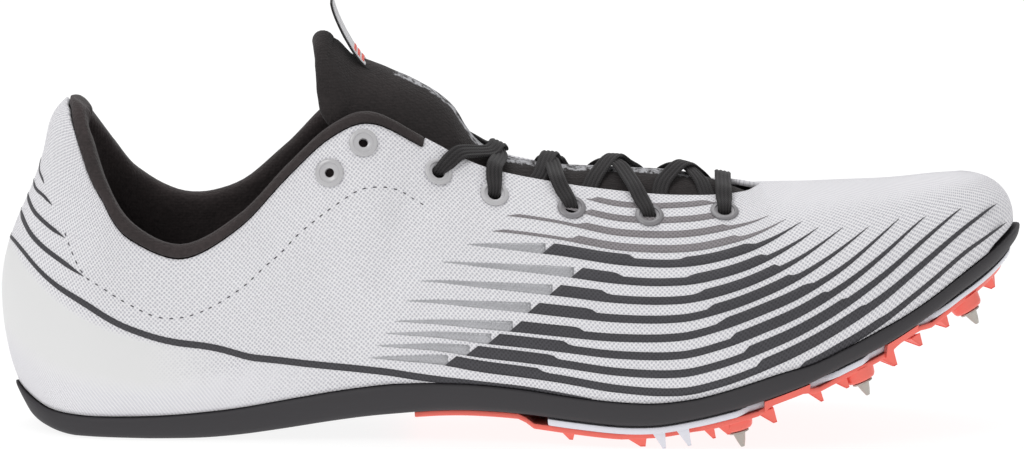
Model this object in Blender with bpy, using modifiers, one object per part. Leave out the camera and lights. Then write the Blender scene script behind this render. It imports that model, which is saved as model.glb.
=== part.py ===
# Right-foot track spike shoe, empty, standing on its heel and foremost-loaded spikes.
# Metres, +X towards the toe, +Z up, the lateral (outer) side at -Y.
import math

import bpy
import bmesh
from mathutils import Vector

# Driving sizes, millimetres
SHOE_LENGTH = 286.0
HALF_WIDTH = 46.0
COLLAR_HEIGHT = 92.0
UPPER_WALL = 1.6
GAP = 0.35
ARCH_RISE = 2.4
INSOLE_THICKNESS = 2.6
INSOLE_INSET = 4.2
PLATE_THICKNESS = 1.9
OUTSOLE_THICKNESS = 1.6
TONGUE_THICKNESS = 3.4
COLLAR_LINING_DEPTH = 22.0
CUFF_ROLL = 0.9
CUFF_HEM = 0.6
EYELET_OUTER = 4.0
EYELET_INNER = 2.3
EYELET_HEIGHT = 1.0
EYELET_HOLE = 2.5
PUNCH_REACH = 4.5
LACE_WIDTH = 4.8
LACE_THICKNESS = 1.1
LACE_REST = 0.6
LACE_OVER = 1.0
LACE_TURN = 9.0
LACE_SLIP = 6.0
LACE_CLEAR = 1.4
LACE_STEPS = 7
LACE_ON_LACE = 0.3
LACE_BAR_REST = 1.3
LACE_BAR_BACK = 0.8
TAB_WIDTH = 13.0
TAB_THICKNESS = 0.9
SPIKE_FLANGE = 2.9
SPIKE_SHOWN = 4.6
SPIKE_PIN = 1.7
SPIKE_TIP = 0.55
BOSS_RADIUS = 5.0
TOOTH_INSET = 3.4
TOOTH_WIDE = 5.0
TOOTH_ROOT = 0.4
TOOTH_LEAN = 0.36
TOOTH_TIP = 0.16
FANG_INSET = 3.3
FANG_RAISED = 2.2
FANG_LONG = 3.6
FANG_WIDE = 2.4
PLATE_INSET = 1.6
PLATE_NOTCH = 3.6
OUTSOLE_INSET = 4.0
BALL_NOTCH = 2.2
RIM_INSET = 2.6
RIM_WIDTH = 2.0
RIM_SLANT = 0.8
RIM_ABOVE = 0.25
WIDTH_CENTRE = 2.1

# A row per section, from the heel's centre (first) round one side to the toe's tip (last).
# foot_x, top_x are shares of the length, foot_y, top_y of the half width, top_z of the
# collar height: the feather line where the upper meets the sole, and the upper's top line.
SECTION_COLUMNS = ("foot_x", "foot_y", "top_x", "top_y", "top_z")
LATERAL_SECTIONS = (
    (0.0182, 0.000, 0.0717, 0.000, 1.0043),
    (0.0297, -0.228, 0.0787, -0.185, 0.9935),
    (0.0524, -0.435, 0.0874, -0.293, 0.9130),
    (0.0874, -0.561, 0.1014, -0.424, 0.7913),
    (0.1329, -0.615, 0.1276, -0.522, 0.6587),
    (0.1818, -0.628, 0.1783, -0.561, 0.5891),
    (0.2378, -0.630, 0.2343, -0.565, 0.6837),
    (0.2937, -0.637, 0.2815, -0.550, 0.8391),
    (0.3462, -0.650, 0.3234, -0.517, 0.9587),
    (0.3916, -0.676, 0.3636, -0.467, 0.9989),
    (0.4406, -0.715, 0.4161, -0.398, 0.9163),
    (0.4965, -0.774, 0.4720, -0.365, 0.8293),
    (0.5594, -0.852, 0.5420, -0.348, 0.7815),
    (0.6294, -0.924, 0.6224, -0.341, 0.7489),
    (0.6888, -0.950, 0.6888, -0.313, 0.7402),
    (0.7308, -0.948, 0.7259, -0.191, 0.7446),
    (0.7692, -0.928, 0.7434, 0.026, 0.7609),
    (0.8112, -0.876, 0.7902, 0.039, 0.7663),
    (0.8566, -0.778, 0.8392, 0.052, 0.7717),
    (0.8986, -0.637, 0.8776, 0.070, 0.7750),
    (0.9440, -0.452, 0.9073, 0.087, 0.7815),
    (0.9790, -0.185, 0.9266, 0.104, 0.7870),
    (0.9972, 0.174, 0.9388, 0.122, 0.7902),
)
MEDIAL_SECTIONS = (
    (0.0182, 0.000, 0.0717, 0.000, 1.0043),
    (0.0297, 0.228, 0.0787, 0.185, 0.9935),
    (0.0542, 0.426, 0.0902, 0.293, 0.9304),
    (0.0909, 0.552, 0.1066, 0.413, 0.8500),
    (0.1364, 0.613, 0.1329, 0.513, 0.7457),
    (0.1818, 0.609, 0.1801, 0.557, 0.6717),
    (0.2343, 0.578, 0.2308, 0.561, 0.7000),
    (0.2867, 0.530, 0.2780, 0.546, 0.8217),
    (0.3392, 0.487, 0.3199, 0.515, 0.9522),
    (0.3881, 0.474, 0.3619, 0.467, 0.9989),
    (0.4371, 0.504, 0.4161, 0.404, 0.9174),
    (0.4930, 0.587, 0.4720, 0.378, 0.8304),
    (0.5594, 0.735, 0.5420, 0.374, 0.7826),
    (0.6294, 0.904, 0.6224, 0.385, 0.7511),
    (0.6923, 1.009, 0.6888, 0.370, 0.7435),
    (0.7343, 1.039, 0.7259, 0.243, 0.7467),
    (0.7727, 1.041, 0.7434, 0.026, 0.7609),
    (0.8147, 1.013, 0.7902, 0.039, 0.7663),
    (0.8601, 0.950, 0.8392, 0.052, 0.7717),
    (0.9021, 0.852, 0.8776, 0.070, 0.7750),
    (0.9470, 0.728, 0.9073, 0.087, 0.7815),
    (0.9795, 0.512, 0.9266, 0.104, 0.7870),
    (0.9972, 0.174, 0.9388, 0.122, 0.7902),
)
# Same sections: the way a rib faces in plan (0 backwards, 90 sideways, 180 forwards), its
# outward lean at the foot and inward lean at the top in degrees, the pull of each end as a
# share of the rib, and the rolled cuff's band and padding in millimetres.
SHAPE_COLUMNS = ("turn", "lean_low", "pull_low", "lean_high", "pull_high", "band", "pad")
SHAPE = (
    (0, 23, 0.42, 43, 0.11, 5.4, 5.6),
    (20, 23, 0.41, 39, 0.14, 5.2, 5.6),
    (44, 21, 0.38, 30, 0.22, 4.4, 5.6),
    (66, 20, 0.37, 19, 0.30, 3.6, 5.6),
    (82, 19, 0.38, 10, 0.34, 3.1, 5.4),
    (88, 18, 0.38, 8, 0.34, 3.0, 5.2),
    (90, 15, 0.37, 8, 0.34, 3.0, 5.0),
    (90, 12, 0.36, 12, 0.34, 3.0, 4.4),
    (90, 10, 0.36, 20, 0.34, 3.0, 3.8),
    (90, 9, 0.36, 28, 0.34, 3.0, 3.2),
    (91, 9, 0.36, 38, 0.34, 3.0, 3.0),
    (92, 9, 0.37, 47, 0.35, 3.0, 3.0),
    (93, 10, 0.38, 53, 0.36, 3.0, 3.0),
    (93, 11, 0.39, 58, 0.37, 3.0, 3.0),
    (93, 11, 0.40, 64, 0.38, 3.0, 3.0),
    (95, 10, 0.40, 76, 0.39, 3.0, 3.0),
    (97, 9, 0.40, 90, 0.40, 3.0, 3.0),
    (102, 8, 0.41, 90, 0.41, 3.0, 3.0),
    (109, 7, 0.42, 90, 0.42, 3.0, 3.0),
    (119, 6, 0.42, 90, 0.43, 3.0, 3.0),
    (134, 5, 0.42, 90, 0.44, 3.0, 3.0),
    (155, 5, 0.42, 90, 0.44, 3.0, 3.0),
    (180, 5, 0.42, 90, 0.44, 3.0, 3.0),
)
THROAT_ROW = 16
CUFF_END = 9.95

# A row per place along the sole: x as a share of the length, the feather line's and the
# midsole underside's heights as shares of the collar height.
SOLE_COLUMNS = ("x", "feather", "under")
SOLE_PROFILE = (
    (0.0185, 0.1250, 0.0978),
    (0.0315, 0.0989, 0.0424),
    (0.0490, 0.0761, 0.0152),
    (0.0741, 0.0663, 0.0000),
    (0.1091, 0.0652, 0.0000),
    (0.1493, 0.0696, 0.0000),
    (0.1993, 0.0826, 0.0038),
    (0.2364, 0.0978, 0.0141),
    (0.2748, 0.1207, 0.0315),
    (0.3248, 0.1500, 0.0576),
    (0.3622, 0.1685, 0.0750),
    (0.3916, 0.1793, 0.0859),
    (0.4308, 0.1859, 0.0989),
    (0.4671, 0.1859, 0.1033),
    (0.5143, 0.1750, 0.0978),
    (0.5622, 0.1576, 0.0826),
    (0.6094, 0.1457, 0.0717),
    (0.6458, 0.1457, 0.0761),
    (0.6811, 0.1609, 0.0967),
    (0.7098, 0.1848, 0.1185),
    (0.7378, 0.2130, 0.1435),
    (0.7657, 0.2413, 0.1739),
    (0.7948, 0.2674, 0.2087),
    (0.8252, 0.3087, 0.2543),
    (0.8605, 0.3609, 0.3033),
    (0.8853, 0.3989, 0.3435),
    (0.9108, 0.4457, 0.3913),
    (0.9364, 0.5000, 0.4457),
    (0.9615, 0.5500, 0.4924),
    (0.9815, 0.5891, 0.5326),
    (0.9972, 0.6207, 0.5717),
)
# Rings of each sole layer: inset from the feather line in millimetres, depth as a share of
# the layer's thickness.
MIDSOLE_RINGS = (
    (4.2, 0.0),
    (0.3, 0.0),
    (-0.9, 0.16),
    (-0.6, 0.62),
    (3.0, 1.0),
    (8.0, 1.0),
    (14.0, 1.0),
)
INSOLE_RINGS = (
    (0.8, 0.0),
    (0.0, 1.0),
)
PLATE_RINGS = (
    (0.0, 0.0),
    (0.5, 1.0),
)
OUTSOLE_RINGS = (
    (0.0, 0.0),
    (0.5, 1.0),
)

# The tongue, from its top rim to under the vamp: x, centre height, half width, drop of the
# edges below the centre, as shares of the length, collar height, half width, half width.
TONGUE_COLUMNS = ("x", "z", "half", "drop")
TONGUE_ROWS = (
    (0.3180, 1.2120, 0.415, 0.415),
    (0.3320, 1.1740, 0.415, 0.425),
    (0.3500, 1.1370, 0.400, 0.435),
    (0.3780, 1.1000, 0.380, 0.435),
    (0.4060, 1.0650, 0.350, 0.430),
    (0.4260, 1.0310, 0.340, 0.430),
    (0.4440, 0.9800, 0.350, 0.430),
    (0.4620, 0.9160, 0.380, 0.420),
    (0.4830, 0.8620, 0.415, 0.400),
    (0.5170, 0.8170, 0.435, 0.360),
    (0.5600, 0.8050, 0.440, 0.345),
    (0.6120, 0.8010, 0.430, 0.390),
    (0.6640, 0.7880, 0.425, 0.370),
    (0.7060, 0.7560, 0.410, 0.340),
    (0.7410, 0.7160, 0.390, 0.300),
    (0.7830, 0.7060, 0.360, 0.280),
)
TONGUE_ROUND = 0.86

# Eyelets from the collar's corner to the throat's end: section number, distance below the
# edge in millimetres, the lace's lean as it comes over the edge there, in sections, and how
# far ahead of the eyelet it slips under the edge, in millimetres.
EYELET_COLUMNS = ("section", "down", "lean", "ahead")
EYELETS = (
    (7.95, 12.6, 0.0, 0.0),
    (8.80, 8.8, 0.0, 0.0),
    (10.22, 8.6, 0.36, 0.0),
    (11.16, 8.2, 0.0, 12.0),
    (12.20, 8.2, -0.17, 4.5),
    (13.16, 8.2, -0.17, 3.3),
    (14.42, 7.6, 0.0, -6.0),
)
# The lace's crossings: the eyelet pair that each leaves and the pair that it reaches, and
# whether it passes over the throat's edge at each end (1) or slips under it (0).
CROSSING_COLUMNS = ("leaves", "reaches", "over_first", "over_last")
CROSSINGS = (
    (6, 5, 0, 0),
    (5, 4, 1, 0),
    (4, 3, 1, 0),
    (3, 2, 1, 1),
)
# The pull tab's middle line, from where it lies on the tongue to its free end: x as a share
# of the length, height as a share of the collar height.
TAB_COLUMNS = ("x", "z")
TAB_ROWS = (
    (0.3829, 1.1076),
    (0.3724, 1.1196),
    (0.3615, 1.1359),
    (0.3510, 1.1674),
    (0.3413, 1.2109),
    (0.3329, 1.2630),
    (0.3283, 1.3000),
    (0.3266, 1.3217),
)

# Teeth under the front edge: place along the length as a share, depth and length in
# millimetres; then the spikes with the depth of the web that carries each.
TEETH_COLUMNS = ("x", "deep", "long")
TEETH = (
    (0.556, 1.5, 4.0),
    (0.623, 2.0, 6.0),
    (0.6935, 2.6, 3.0),
    (0.7075, 2.4, 3.2),
    (0.7490, 3.0, 4.5),
    (0.7970, 2.4, 3.0),
    (0.8210, 2.4, 3.6),
    (0.8650, 3.0, 4.5),
    (0.8930, 2.2, 3.0),
    (0.9190, 2.4, 3.0),
    (0.9660, 2.6, 3.6),
)

# Where the plate starts, where the outsole's edge is notched at the ball and where its rim
# climbs to the midsole, as shares of the length, with how gently each begins and ends.
PLATE_START = 0.512
BALL_START = 0.610
BALL_END = 0.700
RIM_BLOCKS = ((0.745, 0.800), (0.868, 0.912))
RIM_EASE = 0.003
STEP_SOFT = 0.012
NOTCH_WIDER = 0.022
SPIKE_COLUMNS = ("x", "inset", "web")
SPIKES = (
    (0.7215, 10.0, 2.7),
    (0.8400, 8.6, 3.0),
    (0.9440, 7.6, 3.2),
)
PLATE_TEETH = (
    (0.6445, 4.2),
    (0.6680, 4.6),
)

MATERIALS = {
    "upper_mesh": ((0.81, 0.80, 0.84), 0.85, 0.0),
    "collar_knit": ((0.05, 0.045, 0.045), 0.9, 0.0),
    "midsole_foam": ((0.045, 0.04, 0.045), 0.6, 0.0),
    "plate_white": ((0.76, 0.76, 0.84), 0.4, 0.0),
    "outsole_coral": ((0.93, 0.16, 0.12), 0.35, 0.0),
    "insole_foam": ((0.5, 0.5, 0.5), 0.9, 0.0),
    "tongue_knit": ((0.03, 0.025, 0.03), 0.9, 0.0),
    "tab_webbing": ((0.7, 0.7, 0.7), 0.8, 0.0),
    "eyelet_clear": ((0.62, 0.62, 0.6), 0.3, 0.0),
    "lace_cord": ((0.03, 0.03, 0.03), 0.85, 0.0),
    "spike_steel": ((0.38, 0.35, 0.32), 0.3, 1.0),
}

LAST_ROW = len(SHAPE) - 1


def place(x, y, z):
    return Vector(((x - SHOE_LENGTH / 2) * 0.001, (y - WIDTH_CENTRE) * 0.001, z * 0.001))


def curve(p0, p1, p2, p3, t):
    a = (p2 - p0) / 2
    b = (p3 - p1) / 2
    d = p2 - p1
    return p1 + t * (a + t * ((3 * d - 2 * a - b) + t * (a + b - 2 * d)))


def section_value(side, row, column):
    rows = (LATERAL_SECTIONS, MEDIAL_SECTIONS)
    if row < 0:
        row, side = -row, -side
    if row > LAST_ROW:
        row, side = 2 * LAST_ROW - row, -side
    return rows[0 if side < 0 else 1][row][SECTION_COLUMNS.index(column)]


def section(side, number, column):
    i = min(int(number), LAST_ROW - 1)
    p = [section_value(side, i + k, column) for k in (-1, 0, 1, 2)]
    if column.startswith("top") and i + 1 == THROAT_ROW:
        p[3] = 2 * p[2] - p[1]
    if column.startswith("top") and i == THROAT_ROW:
        p[0] = 2 * p[1] - p[2]
    return curve(*p, number - i)


def shape(number, column):
    c = SHAPE_COLUMNS.index(column)
    i = min(int(number), LAST_ROW - 1)
    p = []
    for k in (i - 1, i, i + 1, i + 2):
        if k < 0:
            p.append(-SHAPE[-k][c] if column == "turn" else SHAPE[-k][c])
        elif k > LAST_ROW:
            mirror = SHAPE[2 * LAST_ROW - k][c]
            p.append(360 - mirror if column == "turn" else mirror)
        else:
            p.append(SHAPE[k][c])
    return curve(*p, number - i)


def table(rows, columns, x, column):
    c = columns.index(column)
    n = len(rows)
    i = 0
    while i < n - 2 and x > rows[i + 1][0]:
        i += 1
    x1, x2 = rows[i][0], rows[i + 1][0]
    y1, y2 = rows[i][c], rows[i + 1][c]
    step = x2 - x1
    slope = (y2 - y1) / step
    m1 = slope if i == 0 else (y2 - rows[i - 1][c]) / (x2 - rows[i - 1][0])
    m2 = slope if i == n - 2 else (rows[i + 2][c] - y1) / (rows[i + 2][0] - x1)
    t = (x - x1) / step
    if t < 0 or t > 1:
        return y1 + m1 * (x - x1) if t < 0 else y2 + m2 * (x - x2)
    a = m1 * step
    b = m2 * step
    d = y2 - y1
    return y1 + t * (a + t * ((3 * d - 2 * a - b) + t * (a + b - 2 * d)))


def sole_height(x, y, column):
    z = table(SOLE_PROFILE, SOLE_COLUMNS, x / SHOE_LENGTH, column) * COLLAR_HEIGHT
    arch = math.exp(-(((x - 0.40 * SHOE_LENGTH) / (0.10 * SHOE_LENGTH)) ** 2))
    z += ARCH_RISE * arch * (y / HALF_WIDTH + 0.65) / 1.15
    return max(z, 0.0)


def outward(side, number):
    turn = math.radians(shape(number, "turn"))
    return Vector((-math.cos(turn), side * math.sin(turn), 0.0))


def feather(side, number, inset=0.0):
    x = section(side, number, "foot_x") * SHOE_LENGTH
    y = section(side, number, "foot_y") * HALF_WIDTH
    way = outward(side, number)
    return Vector((x - way.x * inset, y - way.y * inset, 0.0))


def top_point(side, number):
    return Vector((
        section(side, number, "top_x") * SHOE_LENGTH,
        section(side, number, "top_y") * HALF_WIDTH,
        section(side, number, "top_z") * COLLAR_HEIGHT,
    ))


def rib(side, number):
    foot = feather(side, number)
    foot.z = sole_height(foot.x, foot.y, "feather") + GAP
    top = top_point(side, number)
    way = outward(side, number)
    length = (top - foot).length
    low = math.radians(shape(number, "lean_low"))
    high = math.radians(shape(number, "lean_high"))
    start = way * math.sin(low) + Vector((0, 0, math.cos(low)))
    end = way * -math.sin(high) + Vector((0, 0, math.cos(high)))
    return (
        foot,
        foot + start * length * shape(number, "pull_low"),
        top - end * length * shape(number, "pull_high"),
        top,
        length,
    )


def skin(side, number, up):
    """The upper's outer surface: up runs from 0 at the feather line to 1 at the top line."""
    a, b, c, d, _ = rib(side, number)
    if up > 1.0:
        return d + (d - c) * 3 * (up - 1.0)
    w = 1.0 - up
    return a * w ** 3 + b * 3 * w * w * up + c * 3 * w * up * up + d * up ** 3


def skin_out(side, number, up):
    e = 0.02
    lo = min(max(up, 0.0), 1.0 - e)
    along = wrapped(side, number + e, lo) - wrapped(side, number - e, lo)
    rise = skin(side, number, lo + e) - skin(side, number, lo)
    n = along.cross(rise) * -side
    return n.normalized()


def wrapped(side, number, up):
    if number < 0:
        return skin(-side, -number, up)
    if number > LAST_ROW:
        return skin(-side, 2 * LAST_ROW - number, up)
    return skin(side, number, up)


def skin_at(side, number, down, out=0.0):
    """A point at a distance below the top line and off the outer surface, millimetres."""
    up = 1.0 - down / rib(side, number)[4]
    return skin(side, number, up) + skin_out(side, number, up) * out


def spread(first, last, per_section, extra=()):
    count = max(1, round((last - first) * per_section))
    numbers = [first + (last - first) * k / count for k in range(count + 1)]
    for value in extra:
        if first < value < last and min(abs(value - n) for n in numbers) > 1e-6:
            numbers.append(value)
    return sorted(numbers)


def loop_of(numbers, open_back):
    """Sections round the sole's edge: along the lateral side, back along the medial."""
    loop = [(-1, n) for n in numbers]
    back = [(1, n) for n in reversed(numbers) if n < LAST_ROW]
    if not open_back:
        back = back[:-1]
    return loop + back


# Building helpers
def new_collection(name):
    made = bpy.data.collections.new(name)
    bpy.context.scene.collection.children.link(made)
    return made


def make_material(name):
    colour, rough, metal = MATERIALS[name]
    made = bpy.data.materials.new(name)
    made.use_nodes = True
    shader = made.node_tree.nodes["Principled BSDF"]
    shader.inputs["Base Color"].default_value = (*colour, 1.0)
    shader.inputs["Roughness"].default_value = rough
    shader.inputs["Metallic"].default_value = metal
    return made


def finish(name, bm, material, collection):
    mesh = bpy.data.meshes.new(name)
    bm.to_mesh(mesh)
    bm.free()
    made = bpy.data.objects.new(name, mesh)
    collection.objects.link(made)
    if material:
        mesh.materials.append(make_material(material))
    return made


def grid(columns, rows, spot):
    """A rectangular sheet with each vertex moved to spot(column, row)."""
    bm = bmesh.new()
    bmesh.ops.create_grid(bm, x_segments=columns, y_segments=rows, size=0.5)
    for vert in bm.verts:
        c = round((vert.co.x + 0.5) * columns)
        r = round((vert.co.y + 0.5) * rows)
        vert.co = spot(c, r)
    return bm


def weld(bm):
    bmesh.ops.remove_doubles(bm, verts=bm.verts, dist=0.00001)
    bmesh.ops.dissolve_degenerate(bm, edges=bm.edges, dist=0.00001)


def close_up(bm):
    edges = [e for e in bm.edges if e.is_boundary]
    if edges:
        bmesh.ops.triangle_fill(bm, edges=edges, use_beauty=True)
    bmesh.ops.recalc_face_normals(bm, faces=bm.faces)
    if bm.calc_volume(signed=True) < 0:
        bmesh.ops.reverse_faces(bm, faces=bm.faces)


def thicken(made, millimetres):
    shell = made.modifiers.new("wall", "SOLIDIFY")
    shell.thickness = millimetres * 0.001
    shell.offset = -1.0
    shell.use_rim = True
    return shell


def cut(made, cutter, operation="DIFFERENCE"):
    step = made.modifiers.new("cut", "BOOLEAN")
    step.operation = operation
    step.solver = "EXACT"
    step.use_self = operation == "UNION"
    step.object = cutter
    cutter.hide_render = True
    cutter.display_type = "WIRE"


def slab(name, loop, rings, inset_of, top_of, bottom_of, material, collection):
    """A sole layer: rings inset from the edge, from the top's middle round to the underside's."""
    front = 0.915 * SHOE_LENGTH
    first = feather(*loop[0]).x
    blunt = loop[0][1] == loop[-1][1]
    rear = first + 17.0 if blunt else 0.085 * SHOE_LENGTH

    def middle(number):
        a = feather(-1, number)
        b = feather(1, number)
        x = min(max((a.x + b.x) / 2, rear), front)
        centre = (a + b) / 2
        near = min(max(centre.x, rear), front)
        if near != centre.x:
            steps = spread(0.0, LAST_ROW, 4)
            best = min(steps, key=lambda n: abs((feather(-1, n).x + feather(1, n).x) / 2 - near))
            centre = (feather(-1, best) + feather(1, best)) / 2
        return Vector((x, centre.y, 0.0))

    levels = [(None, 0.0)] + list(rings) + [(None, 1.0)]
    count = len(loop)

    def spot(c, r):
        side, number = loop[c % count]
        inset, depth = levels[r]
        edge = feather(side, number)
        centre = middle(number)
        if inset is None:
            p = centre
        else:
            extra = inset_of(edge.x)
            p = feather(side, number, extra + inset)
            reach = (edge - centre).length
            if extra + inset > 0.7 * reach:
                p = edge.lerp(centre, 0.7)
            if blunt:
                p.x = max(p.x, first + inset)
        high = top_of(p.x, p.y)
        low = bottom_of(p.x, p.y)
        return place(p.x, p.y, high + (low - high) * depth)

    bm = grid(count, len(levels) - 1, spot)
    weld(bm)
    close_up(bm)
    return finish(name, bm, material, collection)


def lathe(centre, axis, profile, around=16):
    """A turned solid: profile rows are radius and height along the axis, millimetres."""
    up = axis.normalized()
    across = up.cross(Vector((1, 0, 0))).normalized()
    other = up.cross(across)

    def spot(c, r):
        radius, height = profile[r]
        angle = 2 * math.pi * (c % around) / around
        p = centre + up * height
        p = p + across * radius * math.cos(angle) + other * radius * math.sin(angle)
        return place(p.x, p.y, p.z)

    bm = grid(around, len(profile) - 1, spot)
    weld(bm)
    close_up(bm)
    return bm


def join_into(bm, other):
    scratch = bpy.data.meshes.new("scratch")
    other.to_mesh(scratch)
    other.free()
    bm.from_mesh(scratch)
    bpy.data.meshes.remove(scratch)


def ribbon(path, width, thickness):
    """A flat strip along (point, normal) pairs."""
    count = len(path) - 1

    def frame(c):
        here, normal = path[c]
        before = path[max(c - 1, 0)][0]
        after = path[min(c + 1, count)][0]
        along = (after - before).normalized()
        across = along.cross(normal).normalized()
        return here, across, across.cross(along).normalized()

    corners = ((-0.5, -0.5), (0.5, -0.5), (0.5, 0.5), (-0.5, 0.5))

    def spot(c, r):
        here, across, normal = frame(c)
        a, b = corners[r % 4]
        p = here + across * a * width + normal * b * thickness
        return place(p.x, p.y, p.z)

    bm = grid(count, 4, spot)
    weld(bm)
    ends = [e for e in bm.edges if e.is_boundary]
    bmesh.ops.holes_fill(bm, edges=ends, sides=4)
    close_up(bm)
    return bm


# The upper: its rows as shares of each rib, and how far its edge stays below the collar's band,
# which is further where the heel's top curls in.
SKIN_SHARES = (0.0, 0.14, 0.28, 0.42, 0.56, 0.69, 0.81, 0.91, 1.0)
EDGE_GAP = GAP + 0.1
HEEL_EDGE_GAP = 0.5


def make_upper(collection, cutters):
    numbers = spread(0.0, LAST_ROW, 2, (CUFF_END, CUFF_END + 0.09))
    ring = [(-1, n) for n in reversed(numbers)] + [(1, n) for n in numbers[1:]]
    rows = len(SKIN_SHARES) - 1

    def spot(c, r):
        side, number = ring[c]
        share = SKIN_SHARES[r]
        if number <= CUFF_END + 1e-6:
            length = rib(side, number)[4]
            drop = shape(number, "band") + EDGE_GAP + HEEL_EDGE_GAP * max(0.0, 1.0 - number / 4)
            share *= 1.0 - drop / length
        p = skin(side, number, share)
        return place(p.x, p.y, p.z)

    bm = grid(len(ring) - 1, rows, spot)
    weld(bm)
    bmesh.ops.recalc_face_normals(bm, faces=bm.faces)
    lowest_back = min(bm.faces, key=lambda f: f.calc_center_median().x)
    if lowest_back.normal.x > 0:
        bmesh.ops.reverse_faces(bm, faces=bm.faces)
    upper = finish("upper", bm, "upper_mesh", collection)
    thicken(upper, UPPER_WALL)
    punches = bmesh.new()
    for side in (-1, 1):
        for number, down, lean, ahead in EYELETS:
            centre = skin_at(side, number, down)
            up = 1.0 - down / rib(side, number)[4]
            axis = skin_out(side, number, up)
            profile = (
                (0.0, -PUNCH_REACH),
                (EYELET_HOLE, -PUNCH_REACH),
                (EYELET_HOLE, EYELET_HOLE),
                (0.0, EYELET_HOLE),
            )
            join_into(punches, lathe(centre, axis, profile, 8))
    cut(upper, finish("eyelet_punches", punches, None, cutters))
    return upper


def make_collar(collection):
    numbers = spread(0.0, CUFF_END, 2)
    ring = [(-1, n) for n in reversed(numbers)] + [(1, n) for n in numbers[1:]]
    inner = -(UPPER_WALL + GAP + 0.05)
    end = len(ring) - 1

    def profile(number):
        band = shape(number, "band")
        pad = shape(number, "pad")
        deep = COLLAR_LINING_DEPTH
        return (
            (band, inner),
            (band, 0.1),
            (0.5 * band, CUFF_ROLL),
            (0.1 * band, 0.55 * CUFF_ROLL),
            (-0.8 * CUFF_ROLL, -CUFF_ROLL),
            (-0.9 * CUFF_ROLL, -0.5 * pad),
            (0.1, -0.85 * pad),
            (0.25 * deep, -pad),
            (0.7 * deep, -0.9 * pad),
            (deep, inner - CUFF_HEM),
            (deep, inner),
            (0.5 * deep, inner - 0.12 * pad),
        )

    def spot(c, r):
        side, number = ring[c]
        rows = profile(number)
        down, out = rows[r % len(rows)]
        p = skin_at(side, number, down, out)
        return place(p.x, p.y, p.z)

    bm = grid(end, len(profile(0.0)), spot)
    weld(bm)
    close_up(bm)
    return finish("collar", bm, "collar_knit", collection)


# The sole
def no_inset(x):
    return 0.0


def feather_height(x, y):
    return sole_height(x, y, "feather")


def under_height(x, y):
    return sole_height(x, y, "under")


def window(x, start, end, soft):
    a = min(max((x / SHOE_LENGTH - start) / soft, 0.0), 1.0)
    b = min(max((end - x / SHOE_LENGTH) / soft, 0.0), 1.0)
    return min(a, b)


def rim_contact(x, wider=0.0):
    return max(window(x, start - wider, end + wider, STEP_SOFT) for start, end in RIM_BLOCKS)


def plate_inset(x):
    return PLATE_INSET + PLATE_NOTCH * rim_contact(x, NOTCH_WIDER)


def outsole_inset(x):
    return OUTSOLE_INSET + BALL_NOTCH * window(x, BALL_START, BALL_END, NOTCH_WIDER)


def tread_top(x, y):
    front = window(x, PLATE_START, 2.0, STEP_SOFT)
    return under_height(x, y) - GAP - front * (PLATE_THICKNESS + GAP)


def tread_bottom(x, y):
    return tread_top(x, y) - OUTSOLE_THICKNESS


def slope_down(x, y):
    """The way down, square to the sole's underside."""
    run = 4.0
    rise = under_height(x + run, y) - under_height(x - run, y)
    return Vector((rise, 0.0, -2 * run)).normalized()


def tooth(spot_x, side, inset, raised, deep, long, wide):
    """A tooth with its steep face forwards, hanging from the sole's edge."""
    number = min(
        spread(8.0, LAST_ROW, 40),
        key=lambda n: abs(feather(side, n, inset).x - spot_x * SHOE_LENGTH),
    )
    p = feather(side, number, inset)
    down = slope_down(p.x, p.y)
    root = Vector((p.x, p.y, tread_top(p.x, p.y) - 0.5 * OUTSOLE_THICKNESS + raised))
    way = outward(side, number)
    across = (way - down * way.dot(down)).normalized()
    forward = across.cross(down).normalized()
    if forward.x < 0:
        forward = -forward
    height = deep + 0.5 * OUTSOLE_THICKNESS
    bm = bmesh.new()
    bmesh.ops.create_cone(
        bm, cap_ends=True, segments=4, radius1=0.7071, radius2=TOOTH_TIP, depth=1.0
    )
    for vert in bm.verts:
        angle = math.pi / 4
        u = vert.co.x * math.cos(angle) - vert.co.y * math.sin(angle)
        v = vert.co.x * math.sin(angle) + vert.co.y * math.cos(angle)
        depth = vert.co.z + 0.5
        u += TOOTH_LEAN * depth
        q = root + forward * u * long + across * v * wide + down * depth * height
        vert.co = place(q.x, q.y, q.z)
    close_up(bm)
    return bm


def spike_seat(spot_x, side, inset, web):
    number = min(
        spread(8.0, LAST_ROW, 40),
        key=lambda n: abs(feather(side, n, inset).x - spot_x * SHOE_LENGTH),
    )
    p = feather(side, number, inset)
    down = slope_down(p.x, p.y)
    root = Vector((p.x, p.y, tread_bottom(p.x, p.y)))
    return root, down, root + down * web


def rim_block(side, start, end):
    """Where the outsole's rim climbs to the midsole between the plate's windows."""
    numbers = [n for n in spread(8.0, LAST_ROW, 8)
               if start <= feather(side, n).x / SHOE_LENGTH <= end]
    top = RIM_INSET + RIM_WIDTH
    corners = ((RIM_INSET, 0), (top, 0), (top + RIM_SLANT, 1), (RIM_INSET + RIM_SLANT, 1))

    def spot(c, r):
        number = numbers[c]
        inset, low = corners[r % 4]
        p = feather(side, number, inset)
        z = under_height(p.x, p.y) - GAP
        if low:
            z = tread_bottom(p.x, p.y) + RIM_ABOVE
        return place(p.x, p.y, z)

    bm = grid(len(numbers) - 1, 4, spot)
    weld(bm)
    close_up(bm)
    return bm


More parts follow.
